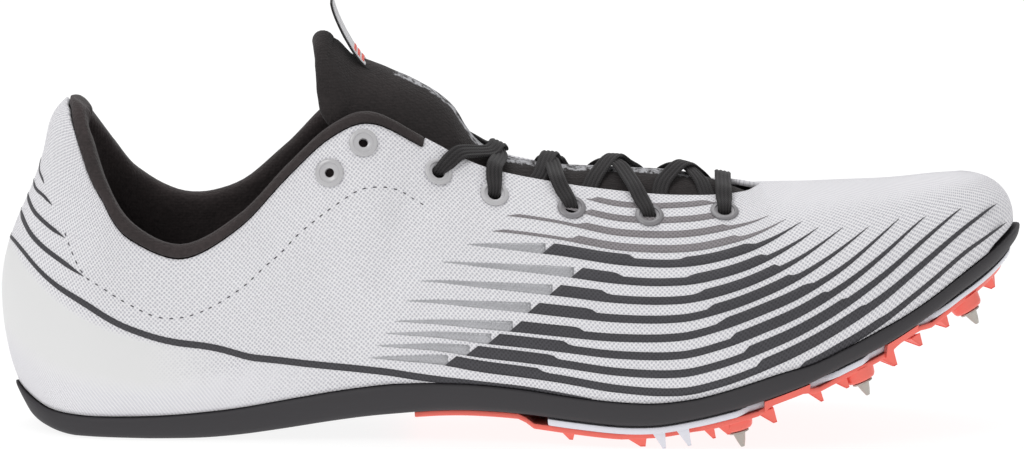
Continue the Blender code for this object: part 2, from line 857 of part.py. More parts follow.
def make_sole(collection, cutters):
    whole = loop_of(spread(0.0, LAST_ROW, 2), False)
    slab("midsole", whole, MIDSOLE_RINGS, no_inset, feather_height, under_height,
         "midsole_foam", collection)

    def bed_top(x, y):
        return feather_height(x, y) + GAP + 0.15 + INSOLE_THICKNESS

    def bed_low(x, y):
        return feather_height(x, y) + GAP + 0.15

    slab("insole", loop_of(spread(0.0, LAST_ROW, 2), False), INSOLE_RINGS,
         lambda x: INSOLE_INSET, bed_top, bed_low, "insole_foam", collection)

    def plate_top(x, y):
        return under_height(x, y) - GAP - 0.25 * window(x, 0.90, 2.0, 0.05)

    def plate_low(x, y):
        return under_height(x, y) - GAP - PLATE_THICKNESS

    plate = slab("plate", loop_of(spread(11.6667, LAST_ROW, 3), True), PLATE_RINGS,
                 plate_inset, plate_top, plate_low, "plate_white", collection)
    fangs = bmesh.new()
    for side in (-1, 1):
        for spot_x, deep in PLATE_TEETH:
            fang = tooth(
                spot_x, side, FANG_INSET, FANG_RAISED, deep + TOOTH_ROOT, FANG_LONG, FANG_WIDE
            )
            join_into(fangs, fang)
    cut(plate, finish("plate_teeth", fangs, None, cutters), "UNION")

    outsole = slab("outsole", loop_of(spread(9.3333, LAST_ROW, 3), True), OUTSOLE_RINGS,
                   outsole_inset, tread_top, tread_bottom, "outsole_coral", collection)
    lugs = bmesh.new()
    for side in (-1, 1):
        for spot_x, deep, long in TEETH:
            inset = outsole_inset(spot_x * SHOE_LENGTH) + TOOTH_INSET
            join_into(lugs, tooth(spot_x, side, inset, 0.0, deep + TOOTH_ROOT, long, TOOTH_WIDE))
        for spot_x, inset, web in SPIKES:
            root, down, seat = spike_seat(spot_x, side, inset, web)
            profile = (
                (0.0, -TOOTH_ROOT),
                (BOSS_RADIUS, -TOOTH_ROOT),
                (0.84 * BOSS_RADIUS, web - TOOTH_ROOT),
                (0.68 * BOSS_RADIUS, web),
                (0.0, web),
            )
            join_into(lugs, lathe(root, down, profile, 10))
        for start, end in RIM_BLOCKS:
            join_into(lugs, rim_block(side, start + RIM_EASE, end - RIM_EASE))
    cut(outsole, finish("outsole_lugs", lugs, None, cutters), "UNION")

    for side, word in ((-1, "lateral"), (1, "medial")):
        for index, (spot_x, inset, web) in enumerate(SPIKES):
            root, down, seat = spike_seat(spot_x, side, inset, web)
            shown = SPIKE_SHOWN
            if index == 0:
                shown = (seat.z - 0.55 * abs(down.x)) / -down.z
            profile = (
                (0.0, GAP),
                (SPIKE_FLANGE, GAP),
                (SPIKE_FLANGE, GAP + 0.5),
                (SPIKE_PIN, GAP + 0.9),
                (SPIKE_TIP, shown),
                (0.0, shown),
            )
            name = "spike_%s_%d" % (word, index + 1)
            finish(name, lathe(seat, down, profile, 10), "spike_steel", collection)


# The tongue and its tab
def tongue_value(x, column):
    scale = {"z": COLLAR_HEIGHT, "half": HALF_WIDTH, "drop": HALF_WIDTH}[column]
    return table(TONGUE_ROWS, TONGUE_COLUMNS, x / SHOE_LENGTH, column) * scale


def tongue_centre(x):
    front = min(max((x / SHOE_LENGTH - 0.52) / 0.26, 0.0), 1.0)
    return 1.4 * front


def tongue_point(x, across):
    """across runs from -1 at the lateral edge to 1 at the medial edge."""
    most = TONGUE_ROUND * math.pi / 2
    angle = across * most
    y = tongue_value(x, "half") * math.sin(angle) / math.sin(most)
    fall = (1 - math.cos(angle)) / (1 - math.cos(most))
    return Vector((x, tongue_centre(x) + y, tongue_value(x, "z") - tongue_value(x, "drop") * fall))


def tongue_up(x, across):
    along = tongue_point(x + 1.0, across) - tongue_point(x - 1.0, across)
    side = tongue_point(x, across + 0.02) - tongue_point(x, across - 0.02)
    return along.cross(side).normalized()


def make_tongue(collection):
    start = TONGUE_ROWS[0][0] * SHOE_LENGTH
    end = TONGUE_ROWS[-1][0] * SHOE_LENGTH
    rows, columns = 20, 8

    def spot(c, r):
        x = start + (end - start) * r / rows
        p = tongue_point(x, 2.0 * c / columns - 1.0)
        return place(p.x, p.y, p.z)

    bm = grid(columns, rows, spot)
    weld(bm)
    bmesh.ops.recalc_face_normals(bm, faces=bm.faces)
    if sum(f.normal.z for f in bm.faces) < 0:
        bmesh.ops.reverse_faces(bm, faces=bm.faces)
    thicken(finish("tongue", bm, "tongue_knit", collection), TONGUE_THICKNESS)

    spots = [Vector((x * SHOE_LENGTH, 0.0, z * COLLAR_HEIGHT)) for x, z in TAB_ROWS]
    path = []
    for index, here in enumerate(spots):
        before = spots[max(index - 1, 0)]
        after = spots[min(index + 1, len(spots) - 1)]
        path.append((here, Vector((after.z - before.z, 0.0, before.x - after.x)).normalized()))
    finish("tongue_tab", ribbon(path, TAB_WIDTH, TAB_THICKNESS), "tab_webbing", collection)


# Eyelets and laces
def make_eyelets(collection):
    for side, word in ((-1, "lateral"), (1, "medial")):
        for index, (number, down, lean, ahead) in enumerate(EYELETS):
            up = 1.0 - down / rib(side, number)[4]
            axis = skin_out(side, number, up)
            centre = skin_at(side, number, down)
            low = GAP + 0.05
            profile = (
                (EYELET_INNER, low),
                (EYELET_OUTER, low),
                (EYELET_OUTER - 0.5, low + EYELET_HEIGHT),
                (EYELET_INNER + 0.3, low + EYELET_HEIGHT),
                (EYELET_INNER, low),
            )
            name = "eyelet_%s_%d" % (word, index + 1)
            finish(name, lathe(centre, axis, profile, 10), "eyelet_clear", collection)


def over_edge(side, index):
    """Points of a lace from its eyelet up over the throat's edge, eyelet first."""
    number, down, lean, ahead = EYELETS[index]
    high = 0.5 * LACE_THICKNESS + LACE_OVER
    reach = down - EYELET_OUTER - LACE_CLEAR
    found = []
    for share, extra in ((0.0, 0.0), (0.5, 0.3), (1.0, 0.7)):
        d = reach * (1.0 - share)
        n = number + lean * share * share
        up = 1.0 - d / rib(side, n)[4]
        found.append((skin_at(side, n, d, high + extra), skin_out(side, n, up)))
    return found


def across_tongue(x_from, y_from, x_to, y_to, steps, lift):
    """Points of a lace resting over the tongue between two places in plan."""
    found = []
    for k in range(steps + 1):
        t = k / steps
        x = x_from + (x_to - x_from) * t
        y = y_from + (y_to - y_from) * t
        half = tongue_value(x, "half")
        most = TONGUE_ROUND * math.pi / 2
        sine = max(-0.999, min(0.999, (y - tongue_centre(x)) / half * math.sin(most)))
        across = math.asin(sine) / most
        normal = tongue_up(x, across)
        if normal.z < 0:
            normal = -normal
        found.append((tongue_point(x, across) + normal * lift, normal))
    return found


def strap(side, crossing, lift):
    """A crossing from the other side's eyelet to this side's, over the tongue."""
    leaves, reaches, over_first, over_last = crossing
    ends = []
    for end_side, index, over in ((-side, leaves, over_first), (side, reaches, over_last)):
        number, down, lean, ahead = EYELETS[index]
        if over:
            points = over_edge(end_side, index)
            near = points[-1][0]
            ends.append((near.x, near.y - end_side * LACE_TURN, points))
        else:
            edge = skin_at(end_side, number, 0.0)
            ends.append((edge.x + ahead, edge.y - end_side * LACE_SLIP, []))
    (x1, y1, first), (x2, y2, last) = ends
    return first + across_tongue(x1, y1, x2, y2, LACE_STEPS, lift) + list(reversed(last))


def make_laces(collection, cutters):
    low = 0.5 * LACE_THICKNESS + LACE_REST
    for index, crossing in enumerate(CROSSINGS):
        one = ribbon(strap(-1, crossing, low), LACE_WIDTH, LACE_THICKNESS)
        two = ribbon(strap(1, crossing, low + LACE_ON_LACE), LACE_WIDTH, LACE_THICKNESS)
        made = finish("lace_cross_%d" % (index + 1), one, "lace_cord", collection)
        other = finish("lace_cross_%d_over" % (index + 1), two, None, cutters)
        cut(made, other, "UNION")
    last = len(EYELETS) - 1
    over = over_edge(-1, last)
    back = over_edge(1, last)
    start = over[-1][0]
    end = back[-1][0]
    lift = 0.5 * LACE_THICKNESS + LACE_BAR_REST
    x1, x2 = start.x - LACE_BAR_BACK, end.x - LACE_BAR_BACK
    inner = across_tongue(x1, start.y + LACE_TURN, x2, end.y - LACE_TURN, 3, lift)
    path = over + inner + list(reversed(back))
    finish("lace_bar", ribbon(path, LACE_WIDTH, LACE_THICKNESS), "lace_cord", collection)


def main():
    for old in list(bpy.data.objects):
        bpy.data.objects.remove(old, do_unlink=True)
    shoe = new_collection("track_spike_shoe")
    cutters = new_collection("track_spike_shoe_cutters")
    make_upper(shoe, cutters)
    make_collar(shoe)
    make_sole(shoe, cutters)
    make_tongue(shoe)
    make_eyelets(shoe)
    make_laces(shoe, cutters)


main()
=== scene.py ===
import functools
import math

import bmesh
import bpy
from bpy.props import FloatProperty, FloatVectorProperty, IntProperty, PointerProperty
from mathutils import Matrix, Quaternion, Vector, noise


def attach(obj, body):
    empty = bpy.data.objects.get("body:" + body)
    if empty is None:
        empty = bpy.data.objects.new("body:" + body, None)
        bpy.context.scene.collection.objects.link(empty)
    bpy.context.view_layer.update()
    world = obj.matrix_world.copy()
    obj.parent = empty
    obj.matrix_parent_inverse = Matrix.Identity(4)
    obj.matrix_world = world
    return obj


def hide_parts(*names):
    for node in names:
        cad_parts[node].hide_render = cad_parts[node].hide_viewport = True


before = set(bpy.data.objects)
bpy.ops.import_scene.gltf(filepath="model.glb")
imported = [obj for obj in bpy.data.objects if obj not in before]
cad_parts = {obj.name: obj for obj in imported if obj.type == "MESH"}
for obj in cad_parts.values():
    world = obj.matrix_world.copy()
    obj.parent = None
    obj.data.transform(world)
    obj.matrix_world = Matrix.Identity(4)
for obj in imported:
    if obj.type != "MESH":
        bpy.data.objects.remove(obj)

bl_info = {
    "name": "Track Spike Shoe",
    "version": (1, 0, 0),
    "blender": (4, 5, 0),
    "location": "View3D > Sidebar > Track Spike",
    "description": "Dresses the frame of a track spike shoe with mesh, knit, foam, laces and print",
    "category": "Object",
}

# Driving sizes, millimetres
SHOE_LENGTH = 286.0
HALF_WIDTH = 46.0
COLLAR_HEIGHT = 92.0
UPPER_WALL = 1.6
GAP = 0.35
ARCH_RISE = 2.4
INSOLE_THICKNESS = 2.6
INSOLE_INSET = 4.2
PLATE_THICKNESS = 1.9
OUTSOLE_THICKNESS = 1.6
TONGUE_THICKNESS = 3.4
COLLAR_LINING_DEPTH = 22.0
EYELET_OUTER = 4.0
EYELET_INNER = 2.3
EYELET_HOLE = 2.5
LACE_WIDTH = 4.8
LACE_THICKNESS = 1.1
LACE_OVER = 1.0
LACE_SLIP = 6.0
TAB_WIDTH = 13.0
SPIKE_FLANGE = 2.9
SPIKE_SHOWN = 4.6
WIDTH_CENTRE = 2.1

# A row per section, from the heel's centre (first) round one side to the toe's tip (last).
# foot_x, top_x are shares of the length, foot_y, top_y of the half width, top_z of the
# collar height: the feather line where the upper meets the sole, and the upper's top line.
SECTION_COLUMNS = ("foot_x", "foot_y", "top_x", "top_y", "top_z")
LATERAL_SECTIONS = (
    (0.0182, 0.000, 0.0717, 0.000, 1.0043),
    (0.0297, -0.228, 0.0787, -0.185, 0.9935),
    (0.0524, -0.435, 0.0874, -0.293, 0.9130),
    (0.0874, -0.561, 0.1014, -0.424, 0.7913),
    (0.1329, -0.615, 0.1276, -0.522, 0.6587),
    (0.1818, -0.628, 0.1783, -0.561, 0.5891),
    (0.2378, -0.630, 0.2343, -0.565, 0.6837),
    (0.2937, -0.637, 0.2815, -0.550, 0.8391),
    (0.3462, -0.650, 0.3234, -0.517, 0.9587),
    (0.3916, -0.676, 0.3636, -0.467, 0.9989),
    (0.4406, -0.715, 0.4161, -0.398, 0.9163),
    (0.4965, -0.774, 0.4720, -0.365, 0.8293),
    (0.5594, -0.852, 0.5420, -0.348, 0.7815),
    (0.6294, -0.924, 0.6224, -0.341, 0.7489),
    (0.6888, -0.950, 0.6888, -0.313, 0.7402),
    (0.7308, -0.948, 0.7259, -0.191, 0.7446),
    (0.7692, -0.928, 0.7434, 0.026, 0.7609),
    (0.8112, -0.876, 0.7902, 0.039, 0.7663),
    (0.8566, -0.778, 0.8392, 0.052, 0.7717),
    (0.8986, -0.637, 0.8776, 0.070, 0.7750),
    (0.9440, -0.452, 0.9073, 0.087, 0.7815),
    (0.9790, -0.185, 0.9266, 0.104, 0.7870),
    (0.9972, 0.174, 0.9388, 0.122, 0.7902),
)
MEDIAL_SECTIONS = (
    (0.0182, 0.000, 0.0717, 0.000, 1.0043),
    (0.0297, 0.228, 0.0787, 0.185, 0.9935),
    (0.0542, 0.426, 0.0902, 0.293, 0.9304),
    (0.0909, 0.552, 0.1066, 0.413, 0.8500),
    (0.1364, 0.613, 0.1329, 0.513, 0.7457),
    (0.1818, 0.609, 0.1801, 0.557, 0.6717),
    (0.2343, 0.578, 0.2308, 0.561, 0.7000),
    (0.2867, 0.530, 0.2780, 0.546, 0.8217),
    (0.3392, 0.487, 0.3199, 0.515, 0.9522),
    (0.3881, 0.474, 0.3619, 0.467, 0.9989),
    (0.4371, 0.504, 0.4161, 0.404, 0.9174),
    (0.4930, 0.587, 0.4720, 0.378, 0.8304),
    (0.5594, 0.735, 0.5420, 0.374, 0.7826),
    (0.6294, 0.904, 0.6224, 0.385, 0.7511),
    (0.6923, 1.009, 0.6888, 0.370, 0.7435),
    (0.7343, 1.039, 0.7259, 0.243, 0.7467),
    (0.7727, 1.041, 0.7434, 0.026, 0.7609),
    (0.8147, 1.013, 0.7902, 0.039, 0.7663),
    (0.8601, 0.950, 0.8392, 0.052, 0.7717),
    (0.9021, 0.852, 0.8776, 0.070, 0.7750),
    (0.9470, 0.728, 0.9073, 0.087, 0.7815),
    (0.9795, 0.512, 0.9266, 0.104, 0.7870),
    (0.9972, 0.174, 0.9388, 0.122, 0.7902),
)
# Same sections: the way a rib faces in plan (0 backwards, 90 sideways, 180 forwards), its
# outward lean at the foot and inward lean at the top in degrees, the pull of each end as a
# share of the rib, and the rolled cuff's band and padding in millimetres.
SHAPE_COLUMNS = ("turn", "lean_low", "pull_low", "lean_high", "pull_high", "band", "pad")
SHAPE = (
    (0, 23, 0.42, 43, 0.11, 5.4, 5.6),
    (20, 23, 0.41, 39, 0.14, 5.2, 5.6),
    (44, 21, 0.38, 30, 0.22, 4.4, 5.6),
    (66, 20, 0.37, 19, 0.30, 3.6, 5.6),
    (82, 19, 0.38, 10, 0.34, 3.1, 5.4),
    (88, 18, 0.38, 8, 0.34, 3.0, 5.2),
    (90, 15, 0.37, 8, 0.34, 3.0, 5.0),
    (90, 12, 0.36, 12, 0.34, 3.0, 4.4),
    (90, 10, 0.36, 20, 0.34, 3.0, 3.8),
    (90, 9, 0.36, 28, 0.34, 3.0, 3.2),
    (91, 9, 0.36, 38, 0.34, 3.0, 3.0),
    (92, 9, 0.37, 47, 0.35, 3.0, 3.0),
    (93, 10, 0.38, 53, 0.36, 3.0, 3.0),
    (93, 11, 0.39, 58, 0.37, 3.0, 3.0),
    (93, 11, 0.40, 64, 0.38, 3.0, 3.0),
    (95, 10, 0.40, 76, 0.39, 3.0, 3.0),
    (97, 9, 0.40, 90, 0.40, 3.0, 3.0),
    (102, 8, 0.41, 90, 0.41, 3.0, 3.0),
    (109, 7, 0.42, 90, 0.42, 3.0, 3.0),
    (119, 6, 0.42, 90, 0.43, 3.0, 3.0),
    (134, 5, 0.42, 90, 0.44, 3.0, 3.0),
    (155, 5, 0.42, 90, 0.44, 3.0, 3.0),
    (180, 5, 0.42, 90, 0.44, 3.0, 3.0),
)
THROAT_ROW = 16
CUFF_END = 9.95

# A row per place along the sole: x as a share of the length, the feather line's and the
# midsole underside's heights as shares of the collar height.
SOLE_COLUMNS = ("x", "feather", "under")
SOLE_PROFILE = (
    (0.0185, 0.1250, 0.0978),
    (0.0315, 0.0989, 0.0424),
    (0.0490, 0.0761, 0.0152),
    (0.0741, 0.0663, 0.0000),
    (0.1091, 0.0652, 0.0000),
    (0.1493, 0.0696, 0.0000),
    (0.1993, 0.0826, 0.0038),
    (0.2364, 0.0978, 0.0141),
    (0.2748, 0.1207, 0.0315),
    (0.3248, 0.1500, 0.0576),
    (0.3622, 0.1685, 0.0750),
    (0.3916, 0.1793, 0.0859),
    (0.4308, 0.1859, 0.0989),
    (0.4671, 0.1859, 0.1033),
    (0.5143, 0.1750, 0.0978),
    (0.5622, 0.1576, 0.0826),
    (0.6094, 0.1457, 0.0717),
    (0.6458, 0.1457, 0.0761),
    (0.6811, 0.1609, 0.0967),
    (0.7098, 0.1848, 0.1185),
    (0.7378, 0.2130, 0.1435),
    (0.7657, 0.2413, 0.1739),
    (0.7948, 0.2674, 0.2087),
    (0.8252, 0.3087, 0.2543),
    (0.8605, 0.3609, 0.3033),
    (0.8853, 0.3989, 0.3435),
    (0.9108, 0.4457, 0.3913),
    (0.9364, 0.5000, 0.4457),
    (0.9615, 0.5500, 0.4924),
    (0.9815, 0.5891, 0.5326),
    (0.9972, 0.6207, 0.5717),
)
# The tongue, from its top rim to under the vamp: x, centre height, half width, drop of the
# edges below the centre, as shares of the length, collar height, half width, half width.
TONGUE_COLUMNS = ("x", "z", "half", "drop")
TONGUE_ROWS = (
    (0.3180, 1.1980, 0.415, 0.415),
    (0.3320, 1.1680, 0.415, 0.425),
    (0.3500, 1.1370, 0.400, 0.435),
    (0.3780, 1.1000, 0.380, 0.435),
    (0.4060, 1.0650, 0.350, 0.430),
    (0.4260, 1.0310, 0.340, 0.430),
    (0.4440, 0.9800, 0.350, 0.430),
    (0.4620, 0.8920, 0.380, 0.420),
    (0.4830, 0.8440, 0.415, 0.400),
    (0.5170, 0.8170, 0.435, 0.360),
    (0.5600, 0.8050, 0.440, 0.345),
    (0.6120, 0.8010, 0.430, 0.390),
    (0.6640, 0.7880, 0.425, 0.370),
    (0.7060, 0.7560, 0.410, 0.340),
    (0.7410, 0.7160, 0.390, 0.300),
    (0.7830, 0.7060, 0.360, 0.280),
)
TONGUE_ROUND = 0.86

# Eyelets from the collar's corner to the throat's end: section number, distance below the
# edge in millimetres, the lace's lean as it comes over the edge there, in sections, and how
# far ahead of the eyelet it slips under the edge, in millimetres.
EYELETS = (
    # section, down, lean, ahead
    (7.95, 12.6, 0.0, 0.0),
    (8.80, 8.8, 0.0, 0.0),
    (10.22, 8.6, 0.36, 0.0),
    (11.16, 8.2, 0.0, 12.0),
    (12.20, 8.2, -0.17, 4.5),
    (13.16, 8.2, -0.17, 3.3),
    (14.42, 7.6, 0.0, -6.0),
)
# The lace's crossings: the eyelet pair that each leaves and the pair that it reaches, whether
# it passes over the throat's edge at each end (1) or slips under it (0), and how far ahead of
# its eyelets the strand crosses the tongue, millimetres.
CROSSINGS = (
    # leaves, reaches, over_first, over_last, ahead
    (6, 5, 0, 0, 0.3),
    (5, 4, 1, 0, 2.0),
    (4, 3, 1, 0, 1.2),
    (3, 2, 1, 1, 4.6),
)
# The pull tab's middle line, from where it lies on the tongue to its free end: x as a share
# of the length, height as a share of the collar height.
TAB_ROWS = (
    # x, z
    (0.3829, 1.1076),
    (0.3724, 1.1196),
    (0.3615, 1.1359),
    (0.3510, 1.1674),
    (0.3413, 1.2109),
    (0.3329, 1.2630),
    (0.3283, 1.3000),
    (0.3266, 1.3217),
)

# Teeth under the front edge: place as a share of the length, depth and length in millimetres.
TEETH = (
    # x, deep, long
    (0.556, 1.5, 4.0),
    (0.623, 2.0, 6.0),
    (0.6935, 2.6, 3.0),
    (0.7075, 2.4, 3.2),
    (0.7490, 3.0, 4.5),
    (0.7970, 2.4, 3.0),
    (0.8210, 2.4, 3.6),
    (0.8650, 3.0, 4.5),
    (0.8930, 2.2, 3.0),
    (0.9190, 2.4, 3.0),
    (0.9660, 2.6, 3.6),
)
# Spikes: place as a share of the length, inset from the sole's edge and depth of the web that
# carries each, millimetres.
SPIKES = (
    # x, inset, web
    (0.7215, 10.0, 2.7),
    (0.8400, 8.6, 3.0),
    (0.9440, 7.6, 3.2),
)
# White teeth of the plate.
PLATE_TEETH = (
    # x, deep
    (0.6445, 4.0),
    (0.6680, 4.4),
)

LAST_ROW = len(SHAPE) - 1

# The photograph's view of the shoe: the side heights below are seen from 9 degrees above.
VIEW_RISE = math.radians(9.0)
VIEW_ROLL = 0.0066
VIEW_DISTANCE = 5.0
VIEW_WIDTH = 0.2874
VIEW_TARGET = (0.0004, -0.0021, 0.0571)

# Printed stripes: bottom edges of the first, fifth, ninth and thirteenth as side heights in
# millimetres, at places along the length. The stripes between them share out the space.
STRIPE_COLUMNS = ("x", "s0", "s4", "s8", "s12")
STRIPE_ROWS = (
    (112.0, 69.3, 52.4, 29.1, 14.5),
    (123.2, 68.8, 51.7, 28.4, 13.5),
    (134.4, 68.3, 50.3, 27.3, 11.3),
    (145.7, 67.8, 49.0, 26.3, 9.7),
    (156.9, 65.6, 47.7, 25.2, 8.1),
    (173.7, 61.5, 45.3, 23.9, 4.9),
    (190.6, 61.4, 44.8, 24.3, 3.8),
    (201.8, 62.9, 46.6, 27.2, 6.2),
    (213.0, 66.0, 50.6, 31.5, 10.4),
    (224.2, 73.4, 57.7, 36.6, 15.6),
    (235.5, 85.0, 67.8, 44.0, 21.8),
    (246.7, 94.0, 78.0, 53.9, 28.9),
    (257.9, 106.0, 89.0, 65.2, 38.0),
    (269.2, 118.0, 100.0, 75.9, 47.9),
    (277.6, 126.0, 108.0, 83.8, 54.4),
    (283.2, 131.0, 113.0, 88.0, 58.9),
)
# Each stripe: where its silver tail starts, where its ink starts and its tip, millimetres.
SPANS = (
    # tail, start, tip
    (164.0, 164.0, 201.0),
    (156.0, 156.0, 204.0),
    (142.0, 142.0, 215.0),
    (138.0, 138.0, 219.8),
    (131.0, 152.0, 224.2),
    (124.0, 160.0, 229.0),
    (118.0, 154.0, 235.8),
    (114.0, 148.0, 243.0),
    (111.0, 143.0, 251.5),
    (108.5, 137.0, 259.0),
    (106.0, 131.0, 269.2),
    (104.0, 125.0, 279.3),
    (222.0, 222.0, 282.0),
)
FIRST_DARK = 4
# Lines round the heel: thickness in millimetres, then places as length and side height.
HEEL_LINES = (
    # thickness, ((x, height), ...)
    (0.7, ((8.9, 74.5), (10.1, 71.1), (11.8, 67.2))),
    (0.8, ((7.9, 68.2), (9.6, 65.4), (14.6, 61.0))),
    (1.1, ((6.4, 64.3), (9.6, 59.0), (18.5, 51.8))),
    (1.3, ((4.7, 59.6), (9.5, 52.2), (23.9, 41.1))),
    (1.9, ((2.6, 52.3), (13.8, 40.5), (27.5, 31.4), (52.5, 22.5), (72.7, 18.6), (92.3, 16.6),
           (112.0, 14.5), (134.4, 11.3), (156.9, 8.1), (166.0, 6.8))),
)
# Punched stitch line below the collar: places as length and side height, millimetres.
STITCH_LINE = (
    # x, height
    (18.2, 54.3), (23.9, 41.6), (29.6, 37.6), (36.5, 33.4), (44.9, 29.8), (53.6, 30.3),
    (61.7, 33.9), (69.3, 39.2), (74.1, 43.8), (78.9, 48.0), (83.6, 53.1), (89.0, 57.6),
    (94.6, 61.8), (100.5, 65.6), (105.6, 66.6), (112.5, 65.6), (118.4, 62.3), (120.7, 60.6),
)
# The stitches' spacing, length, half width and height, millimetres.
STITCH_PITCH = 2.9
STITCH_LONG = 1.25
STITCH_HALF = 0.2
STITCH_HIGH = 0.12
# Soft troughs in the upper: both ends as length and side height, half width and depth.
TROUGHS = (
    # x1, h1, x2, h2, wide, deep
    (121.0, 64.0, 113.1, 59.2, 5.0, 0.625),
    (113.1, 59.2, 108.9, 42.9, 6.0, 1.375),
    (108.9, 42.9, 97.0, 31.0, 8.0, 1.125),
    (91.8, 46.0, 89.8, 38.5, 5.0, 0.75),
    (212.0, 69.0, 219.0, 64.0, 4.0, 0.625),
    (224.0, 71.0, 246.0, 72.0, 9.0, 1.25),
)
# The unevenness of soft pieces: how fine its waves are, per millimetre, and how high.
CLOTH_WAVES = ((0.05, 0.28), (0.16, 0.07))
COLLAR_WAVES = ((0.35, 0.22), (0.11, 0.3))
TONGUE_WAVES = ((0.09, 0.35), (0.3, 0.12))
# Rings of the sole layers, from the top round to the underside.
MIDSOLE_FINE = (
    # inset in millimetres, share of the depth
    (4.2, 0.0),
    (1.2, 0.0),
    (0.3, 0.0),
    (-0.35, 0.03),
    (-0.78, 0.10),
    (-0.92, 0.20),
    (-0.88, 0.40),
    (-0.62, 0.62),
    (-0.2, 0.78),
    (0.8, 0.92),
    (2.0, 0.985),
    (3.4, 1.0),
    (8.0, 1.0),
    (14.0, 1.0),
)
LAYER_FINE = (
    # inset, share of the depth
    (0.5, 0.0),
    (0.1, 0.04),
    (0.0, 0.18),
    (0.1, 0.8),
    (0.35, 0.96),
    (0.8, 1.0),
)

# How the heel's foam fills out the skin at its back, and how many sections that reaches.
HEEL_FULLNESS = (
    # height, spread, fullness, millimetres
    (43.0, 13.0, 1.1),
    (68.0, 10.0, -1.1),
    (87.0, 7.0, 2.3),
)
HEEL_ROUND = 1.5
# The collar's band at the heel.
HEEL_BAND = (
    # section, width in millimetres
    (0.0, 2.4),
    (0.5, 5.6),
    (1.2, 8.4),
    (2.2, 8.0),
    (3.3, 5.4),
    (4.6, 3.1),
)
# The part of the toe's top that is evened out: where it starts along the shoe, its half width
# and lowest height, millimetres, and how many times it is smoothed.
TOE_EASED_FROM = 222.0
TOE_EASED_HALF = 15.0
TOE_EASED_LOW = 50.0
TOE_EASED_TIMES = 40
# Where the heel film ends ahead, where the toe's fine ribs start and the heel's low ones end,
# millimetres along the shoe.
FILM_FRONT = 66.0
TOE_RIBS_FROM = 205.0
LOW_RIBS_TO = 95.0

# A dark stripe gets thin, thick again and then runs out to its tip at three places along it.
# Each is the place on the first dark stripe, its shift from one stripe to the next and what
# that shift gains, millimetres.
THIN_FROM = (176.0, -3.54, 0.0)
THICK_FROM = (190.3, 2.25, 0.12)
TIP_FROM = (209.0, 3.54, 0.14)
# A place on the side that the search misses by more than this, millimetres, isn't on the skin.
MISS_ALLOWED = 0.35

# Where the tread's rim climbs to the midsole between the plate's windows, as shares of the
# length, how softly it starts there, how much shorter its blocks are, and how far it climbs in
# millimetres.
RIM_CONTACTS = ((0.745, 0.800), (0.868, 0.912))
RIM_SOFT = 0.012
RIM_SHORTER = 0.003
RIM_RISE = 1.6
# Sections where the outsole, the plate and the search for places under the forefoot start.
OUTSOLE_FROM = 9.3333
PLATE_FROM = 11.6667
FOREFOOT_FROM = 8.0
# Insets from the feather line, millimetres: the plate, what the rim's blocks add to it, the
# outsole, and what its narrower waist adds to it.
PLATE_INSET = 1.6
PLATE_CUT = 3.6
OUTSOLE_INSET = 4.0
OUTSOLE_CUT = 2.2
# The middle line that a sole layer's rings close on: how near the toe and the heel it comes, as
# shares of the length, or how far from a straight rear end, millimetres.
MIDDLE_FRONT = 0.915
MIDDLE_REAR = 0.085
MIDDLE_OFF_END = 17.0
# A tooth's outline as shares of its length: how far its tip leads, and its tip's half diagonal.
# Then how far its edges are softened, metres.
TOOTH_LEAD = 0.36
TOOTH_TIP = 0.14
TOOTH_SOFT = 0.00016

# The rolled top of the tongue and the dip behind it.
TONGUE_ROLL = (
    # distance from the top edge, spread, height, millimetres
    (3.0, 2.6, 0.9),
    (8.0, 2.4, -0.45),
)
# The tongue's binding down one side.
TONGUE_RIM = (
    # distance from the top edge in millimetres, share of the half width
    (44.0, 1.0),
    (30.0, 1.0),
    (16.0, 1.0),
    (7.0, 0.995),
    (2.2, 0.96),
    (0.6, 0.86),
    (0.2, 0.6),
    (0.2, 0.3),
    (0.2, 0.0),
)
TONGUE_RIM_RADIUS = 2.1
# The silver flecks' strip down the tongue, as a share of the half width, with its soft edge.
STRIP_HALF = 0.17
STRIP_SOFT = 0.05

# How far the tab is set back and down from its line, how much deeper its foot sinks into the
# tongue, millimetres, and over how many steps of the path.
TAB_SET = Vector((-0.9, 0.0, -1.2))
TAB_FOOT_DROP = 1.8
TAB_FOOT_STEPS = 18
# Steps of that path where the black tape, the white tape and the rows of stitching start.
TAB_BLACK_FROM = 6
TAB_WHITE_FROM = 9
TAB_STITCHES_FROM = (10, 12, 14)

# How far inside the throat's edge the lace settles on the tongue, and the usual distance from
# one section to the next there, millimetres.
LACE_SET_IN = 4.5
SECTION_STEP = 19.0
# A strand over the tongue: steps, how many of them a strand that comes over the edge leaves
# out, the height of its arch, of its middle and of the strand that lies on top, millimetres.
STRAND_STEPS = 10
STRAND_LEFT_OUT = 3
STRAND_ARCH = 0.9
STRAND_LIFT = 0.15
STRAND_OVER = 1.35
# How often the lace's path and its twist are evened out, and the points round its section.
LACE_EVENED = 12
TWIST_EVENED = 14
LACE_AROUND = 56


def place(x, y, z):
    return Vector(((x - SHOE_LENGTH / 2) * 0.001, (y - WIDTH_CENTRE) * 0.001, z * 0.001))


def in_metres(p):
    return place(p.x, p.y, p.z)


def clamp(value):
    return max(0.0, min(1.0, value))


def ramp(value, start, run=1.5):
    """From 0 at start to 1 a run further on."""
    return clamp((value - start) / run)


def uneven(p, waves):
    return sum(noise.noise(p * fine) * high for fine, high in waves)


def bend(p, a, b, d, t):
    """A cubic from p to p + d that leaves with slope a and arrives with slope b."""
    return p + t * (a + t * ((3 * d - 2 * a - b) + t * (a + b - 2 * d)))


def curve(p0, p1, p2, p3, t):
    return bend(p1, (p2 - p0) / 2, (p3 - p1) / 2, p2 - p1, t)


